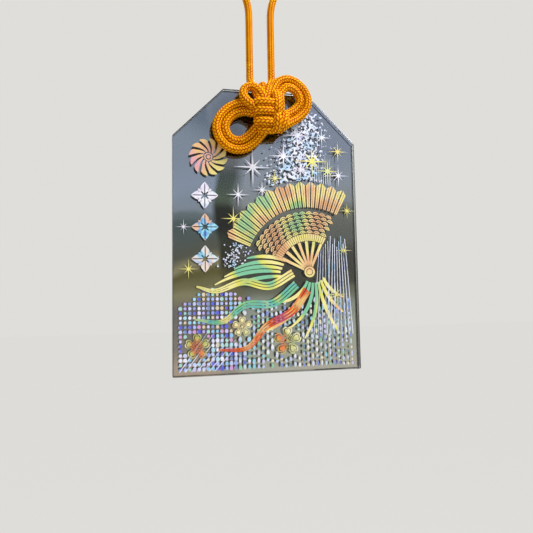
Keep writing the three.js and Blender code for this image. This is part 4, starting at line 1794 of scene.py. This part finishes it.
@dataclass
class Glitter:
    """The finest foil: dots, dashes, rays, the bright drift and the sparkles."""

    fan: Fan
    motifs: Motifs
    chance: random.Random = field(default_factory=lambda: random.Random(11))
    margin: float = 0.3
    left: float = -21.3
    right: float = 20.5
    bottom: float = -66.4
    dot_thickness: float = 0.02
    dot_pitch: float = 1.05
    dot_columns: int = 17
    dot_rows: int = 19
    dot_radii: Flat = (0.34, 0.48)
    dot_turn: float = 0.2
    # The upper border of the dots: two slopes, each a place on it and its climb.
    dot_slopes: tuple[tuple[Flat, float], tuple[Flat, float]] = (
        ((-14.0, -46.5), 0.78), ((-12.0, -47.5), -0.35),
    )
    fade_start: float = -9.0
    fade_reach: float = 7.0
    # Dots below and to the right of this place are drops, taller by this share.
    drop_corner: Flat = (-14.0, -58.0)
    drop_stretch: float = 1.22
    dash_thickness: float = 0.025
    dash_pitch: float = 1.1
    dash_columns: int = 26
    dash_start: Flat = (-7.2, -50.5)
    dash_play: float = 2.5
    dash_climb: float = 0.35
    dash_share: float = 0.95
    dash_lengths: Flat = (0.7, 1.7)
    dash_gaps: Flat = (0.1, 0.45)
    dash_widths: Flat = (0.24, 0.33)
    # The dashes' widths at the tablet's middle, as a share, and how much less to the right.
    dash_middle: float = 1.05
    dash_narrowing: float = 0.014
    dash_shoulder: float = 0.3
    dash_lean: float = 0.0022
    dash_foot: float = -66.0
    drift_thickness: float = 0.036
    drift_cell: float = 0.24
    drift_columns: int = 80
    drift_rows: int = 82
    drift_middle: Flat = (7.6, -14.4)
    drift_head: Flat = (9.8, -5.0)
    drift_fall: float = 22.0
    drift_sway: float = 3.4
    drift_width: float = 4.4
    # The drift's blotches: how fine the coarse and the fine ones are.
    blotches: Flat = (1.5, 2.6)
    fine_share: float = 0.7
    drift_level: float = -0.02
    drift_fade: Flat = (0.45, 0.9)
    drift_smoothing: float = 0.6
    # How high x and rise may add up to, so that foil stays clear of the corner cut.
    drift_corner: float = 8.6
    fleck_corner: float = 9.0
    clouds: tuple[Cloud, ...] = (
        Cloud((9.8, -6.0), (6.0, -26.0), (4.2, 8.5), 300),
        Cloud((-4.5, -33.0), (-9.5, -43.0), (1.8, 2.4), 200),
    )
    fleck_thickness: float = 0.04
    fleck_radii: Flat = (0.08, 0.27)
    fleck_scatter: float = 0.6
    fleck_sides: int = 5
    fleck_turn: float = 6.0
    ray_thickness: float = 0.03
    comb: Rays = Rays(
        8, ((15.4875, -35.3), (19.1625, -35.3)), ((14.04375, -59.08), (20.60625, -59.08)),
        (0.15, 0.19), 2.6,
    )
    # Rays beside the comb, over the fan, and in the lower left corner.
    fine_rays: tuple[Rays, ...] = (
        Rays(5, ((12.4, -39.5), (14.8, -36.5)), ((10.6, -60), (14.8, -60)), (0.12, 0.15)),
        Rays(
            8, ((11.9, -15.5), (15.75, -15.5)), ((11.8, -21.9), (15.86, -22.74)), (0.06, 0.14), 2.6,
        ),
        Rays(7, ((-21, -66.4), (-13, -66.4)), ((-14.5, -57.5), (-6.9, -60)), (0.22, 0.06)),
    )
    star_core: float = 0.12
    star_slant: float = 0.61
    silver_nodes: tuple[int, ...] = (1, 2, 4, 6)
    gold_nodes: tuple[int, ...] = (3, 5, 7, 8)
    # Each small sparkle: its middle and how far it reaches.
    small_silver: tuple[tuple[Flat, float], ...] = (
        ((7.6, -10.6), 3.8), ((13.9, -10.8), 2.8), ((-1.4, -24.4), 2.4), ((8.2, -19.2), 2.6),
        ((-20, -33.5), 1.8),
    )
    small_gold: tuple[tuple[Flat, float], ...] = (
        ((15.2, -19.2), 3.2), ((20.0, -29.0), 2.0), ((16.4, -49.5), 3.0), ((-8.4, -31.4), 3.0),
        ((18.8, -38.8), 2.2),
    )

    def free(self, x: float, rise: float) -> bool:
        """Tells whether a spot is clear of the fan and the blossoms.

        Args:
            x: the spot's place across the tablet.
            rise: its rise.

        Returns:
            Whether it is.
        """
        fan, spot = self.fan, (x, rise)
        way = math.atan2(rise - fan.pivot[1], x - fan.pivot[0])
        lean = self.margin / fan.radius
        near = math.dist(spot, fan.pivot) < fan.radius + self.margin
        if near and fan.start - lean < way < fan.end + lean:
            return False
        return all(
            math.dist(spot, middle) > reach + self.margin for middle, reach in self.motifs.blossoms
        )

    def ceiling(self, x: float) -> float:
        """How high the dots reach at a place across the tablet."""
        ((left, rise), climb), ((right, top), fall) = self.dot_slopes
        return min(rise + (x - left) * climb, top + max(0.0, x - right) * fall)

    def dots(self, finish: Material) -> None:
        """Draws the grid of dots at the lower left, which turn to drops below.

        Args:
            finish: the foil's material.
        """
        foil = Foil("glitter_dots", self.dot_thickness)
        turns = [i * math.pi / 4 + self.dot_turn for i in range(8)]
        for i in range(self.dot_columns):
            x = self.left + (i + 0.5) * self.dot_pitch
            fade = (x - self.fade_start) / self.fade_reach
            for k in range(self.dot_rows):
                rise = self.bottom + (k + 0.5) * self.dot_pitch
                if rise > self.ceiling(x) or not self.free(x, rise):
                    continue
                if fade > 0 and self.chance.random() < fade:
                    continue
                wide = self.chance.uniform(*self.dot_radii)
                round_dot = rise > self.drop_corner[1] or x < self.drop_corner[0]
                tall = wide if round_dot else wide * self.drop_stretch
                foil.shape([(x + wide * math.cos(a), rise + tall * math.sin(a)) for a in turns])
        foil.press(finish, Slot.SILVER)

    def dashes(self, finish: Material) -> None:
        """Draws the columns of dashes at the lower right, which lean outwards as they fall.

        Args:
            finish: the foil's material.
        """
        foil = Foil("glitter_dashes", self.dash_thickness)
        for i in range(self.dash_columns):
            x = self.dash_start[0] + i * self.dash_pitch
            top = self.dash_start[1] - self.dash_play * self.chance.random()
            top -= max(0.0, -x) * self.dash_climb
            rise = self.bottom
            while rise < top:
                length = self.chance.uniform(*self.dash_lengths)
                middle = x - self.dash_lean * x * (rise - self.dash_foot)
                drawn = self.chance.random() < self.dash_share
                if drawn and self.free(middle, rise + length / 2):
                    wide = self.chance.uniform(*self.dash_widths)
                    wide *= self.dash_middle - self.dash_narrowing * x
                    low = rise + self.dash_shoulder * length
                    high = rise + (1 - self.dash_shoulder) * length
                    foil.shape([
                        (middle, rise), (middle + wide, low), (middle + wide, high),
                        (middle, rise + length), (middle - wide, high), (middle - wide, low),
                    ])
                rise += length + self.chance.uniform(*self.dash_gaps)
        foil.press(finish, Slot.SILVER)

    def in_drift(self, x: float, rise: float) -> bool:
        """Tells whether a spot lies in a blotch of the drift, which widens as it falls.

        Args:
            x: the spot's place across the tablet.
            rise: its rise.

        Returns:
            Whether it does.
        """
        fallen = (self.drift_head[1] - rise) / self.drift_fall
        middle = self.drift_head[0] - self.drift_sway * fallen
        off = abs(x - middle) / (self.drift_width * (1 + fallen))
        coarse, fine = self.blotches
        tone = noise.noise(Vector((x, rise, 0)) * coarse)
        tone += self.fine_share * noise.noise(Vector((x, rise, 9)) * fine)
        fade_start, fade = self.drift_fade
        level = self.drift_level + fade * max(0.0, off - fade_start)
        return tone > level and self.free(x, rise)

    def drift(self, finish: Material) -> None:
        """Cuts the bright drift at the upper right out of a fine grid, in soft blotches.

        Args:
            finish: the foil's material.
        """
        foil = Foil("bright_drift", self.drift_thickness)
        middle = place(self.drift_middle[0], 0, self.drift_middle[1])
        wide, tall = (count * self.drift_cell for count in (self.drift_columns, self.drift_rows))
        bpy.ops.mesh.primitive_grid_add(
            x_subdivisions=self.drift_columns, y_subdivisions=self.drift_rows, size=MM,
            location=middle, rotation=foil.FACING,
        )
        bpy.ops.transform.resize(value=(wide, 1, tall), center_override=middle)
        bpy.ops.mesh.select_all(action="DESELECT")
        form = foil.form()
        for face in form.faces:
            x, rise = on_tablet(face.calc_center_median())
            face.select_set(x + rise > self.drift_corner or not self.in_drift(x, rise))
        bmesh.update_edit_mesh(foil.piece.data)
        bpy.ops.mesh.delete(type="FACE")
        bpy.ops.mesh.select_all(action="SELECT")
        bpy.ops.mesh.vertices_smooth(factor=self.drift_smoothing, repeat=1)
        foil.press(finish, Slot.SILVER)

    def flecks(self, finish: Material) -> None:
        """Scatters flecks beside the bright drift, and a small cloud of them at the left.

        Args:
            finish: the foil's material.
        """
        foil = Foil("bright_flecks", self.fleck_thickness)
        for cloud in self.clouds:
            narrow, wide = cloud.widths
            for _ in range(cloud.count):
                share = self.chance.random()
                x, rise = between(cloud.head, cloud.foot, share)
                x += self.chance.gauss(0, self.fleck_scatter) * (narrow + (wide - narrow) * share)
                if x > self.right or x + rise > self.fleck_corner or not self.free(x, rise):
                    continue
                radius = self.chance.uniform(*self.fleck_radii)
                turn = self.chance.random() * self.fleck_turn
                foil.disc((x, rise), radius, self.fleck_sides, turn)
        foil.press(finish, Slot.SILVER)

    def rays(self, finish: Material) -> None:
        """Draws the comb of rays at the right, and the fine rays.

        Args:
            finish: the foil's material.
        """
        comb = Foil("ray_foil", FOIL_THICKNESS)
        self.comb.draw(comb)
        comb.press(finish, Slot.SILVER, "foil_ray_comb")
        foil = Foil("fine_rays", self.ray_thickness)
        for group in self.fine_rays:
            group.draw(foil)
        foil.press(finish, Slot.SILVER)

    def stars(self, silver: Material, gold: Material) -> None:
        """Draws the large sparkles, each in place of its CAD node, and small ones among them.

        Args:
            silver: the silver sparkles' material.
            gold: the gold sparkles' material.
        """
        for name, numbers, small, finish, slot in (
            ("silver_stars", self.silver_nodes, self.small_silver, silver, Slot.SILVER),
            ("gold_stars", self.gold_nodes, self.small_gold, gold, Slot.GOLD),
        ):
            foil = Foil(name, FOIL_THICKNESS)
            nodes = [f"foil_star_{number}" for number in numbers]
            boxes = [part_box(node) for node in nodes]
            large = [
                (on_tablet([(a + b) / 2 for a, b in zip(low, high)]), (high[0] - low[0]) / 2 / MM)
                for low, high in boxes
            ]
            for middle, long in (*large, *small):
                foil.star(middle, long, long * self.star_slant, long * self.star_core)
            foil.press(finish, slot, *nodes)


FOIL_FINISHES = {
    "gold": FoilFinish("gold_foil", shades(
        (226, 172, 124), (242, 200, 146), (242, 226, 148), (232, 220, 130), (166, 208, 150),
    )),
    "pale": FoilFinish("pale_gold_foil", shades(
        (244, 222, 130), (246, 238, 160), (240, 230, 120), (224, 234, 170),
    )),
    "cream": FoilFinish("cream_streamer_foil", shades(
        (240, 190, 120), (242, 230, 150), (246, 236, 160), (230, 226, 100), (130, 200, 160),
    ), 120.0),
    "silver": FoilFinish("silver_foil", shades(
        (216, 224, 246), (244, 244, 250), (232, 224, 246),
    ), 500.0),
    "green": FoilFinish("green_foil", shades(
        (236, 220, 130), (120, 196, 140), (100, 184, 178), (176, 214, 150),
    )),
    "orange": FoilFinish("orange_foil", shades(
        (236, 180, 120), (226, 100, 26), (206, 76, 60), (190, 80, 110),
    )),
    "peach": FoilFinish("peach_foil", shades(
        (226, 166, 172), (232, 186, 130), (232, 216, 136),
    ), 140.0),
    "azure": FoilFinish("azure_foil", shades(
        (120, 130, 226), (110, 196, 236), (176, 226, 240), (96, 170, 232), (232, 190, 160),
    ), 420.0),
    "frost": FoilFinish("frost_foil", shades(
        (150, 206, 236), (220, 234, 244), (240, 214, 196), (186, 206, 240),
    ), 420.0),
    "blush": FoilFinish("blush_foil", shades(
        (206, 70, 96), (248, 226, 164), (250, 240, 186), (186, 190, 104), (236, 130, 74),
    ), 150.0),
    "dotted": FoilFinish("glitter_dots", shades(
        (96, 104, 216), (150, 166, 238), (176, 190, 244), (122, 116, 214), (206, 212, 246),
        (188, 176, 238), (226, 222, 248), (236, 236, 250), (216, 160, 210), (150, 202, 236),
        (176, 222, 236), (196, 204, 240), (170, 220, 206), (222, 206, 176), (206, 196, 242),
        (132, 150, 200),
    ), cell=1.05, glue_and_shade=srgb(172, 172, 188)),
    "dashed": FoilFinish("glitter_dashes", shades(
        (136, 150, 216), (190, 204, 240), (214, 220, 236), (200, 198, 234), (120, 150, 168),
        (234, 236, 244), (140, 206, 166), (150, 210, 226), (200, 216, 226), (228, 222, 190),
    ), cell=1.1, glue_and_shade=srgb(176, 178, 184)),
    "lilac": FoilFinish("lilac_foil", shades(
        (194, 200, 240), (228, 234, 252), (236, 238, 252), (216, 228, 252), (184, 216, 246),
    ), 420.0, glue_and_shade=srgb(176, 182, 198)),
}


@dataclass
class FoilArt:
    """The foil on the tablet's front: a festive fan, ribbons, blossoms and glitter."""

    fan: Fan = field(default_factory=Fan)
    trails: Trails = field(default_factory=Trails)
    motifs: Motifs = field(default_factory=Motifs)

    def build(self) -> None:
        """Makes the finishes and every piece of foil."""
        finishes = {name: finish.material() for name, finish in FOIL_FINISHES.items()}
        self.fan.build(finishes["gold"])
        for which, name, slot in (
            ("upper", "cream", Slot.GOLD), ("middle", "green", Slot.GREEN),
            ("lower", "orange", Slot.ORANGE),
        ):
            self.trails.ribbon(which, finishes[name], slot)
        self.trails.stream(finishes["cream"])
        self.motifs.rosette(finishes["peach"])
        for which, name in (("upper", "silver"), ("middle", "azure"), ("lower", "frost")):
            self.motifs.ornament(which, finishes[name])
        for number in range(1, len(self.motifs.blossoms) + 1):
            self.motifs.blossom(number, finishes["blush"])
        glitter = Glitter(self.fan, self.motifs)
        glitter.dots(finishes["dotted"])
        glitter.dashes(finishes["dashed"])
        for draw in (glitter.drift, glitter.flecks, glitter.rays):
            draw(finishes["lilac"])
        glitter.stars(finishes["silver"], finishes["pale"])


def corners(bounds: tuple[Vector, Vector]) -> list[list[float]]:
    """A box's lowest and highest corner, as plain numbers."""
    return [[float(value) for value in corner] for corner in bounds]


def main() -> None:
    """Builds the charm's looks around its frame."""
    logging.basicConfig(level=logging.INFO, format="%(name)s: %(message)s")
    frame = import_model()
    bpy.ops.object.select_all(action="DESELECT")
    Studio().build()
    cord = CordFinish().material()
    HangingCord(Braid(), cord).build()
    TiedKnot(Braid(), cord).build()
    Tablet(frame["nodes"]).build()
    FoilArt().build()


if __name__ == "__main__":
    main()
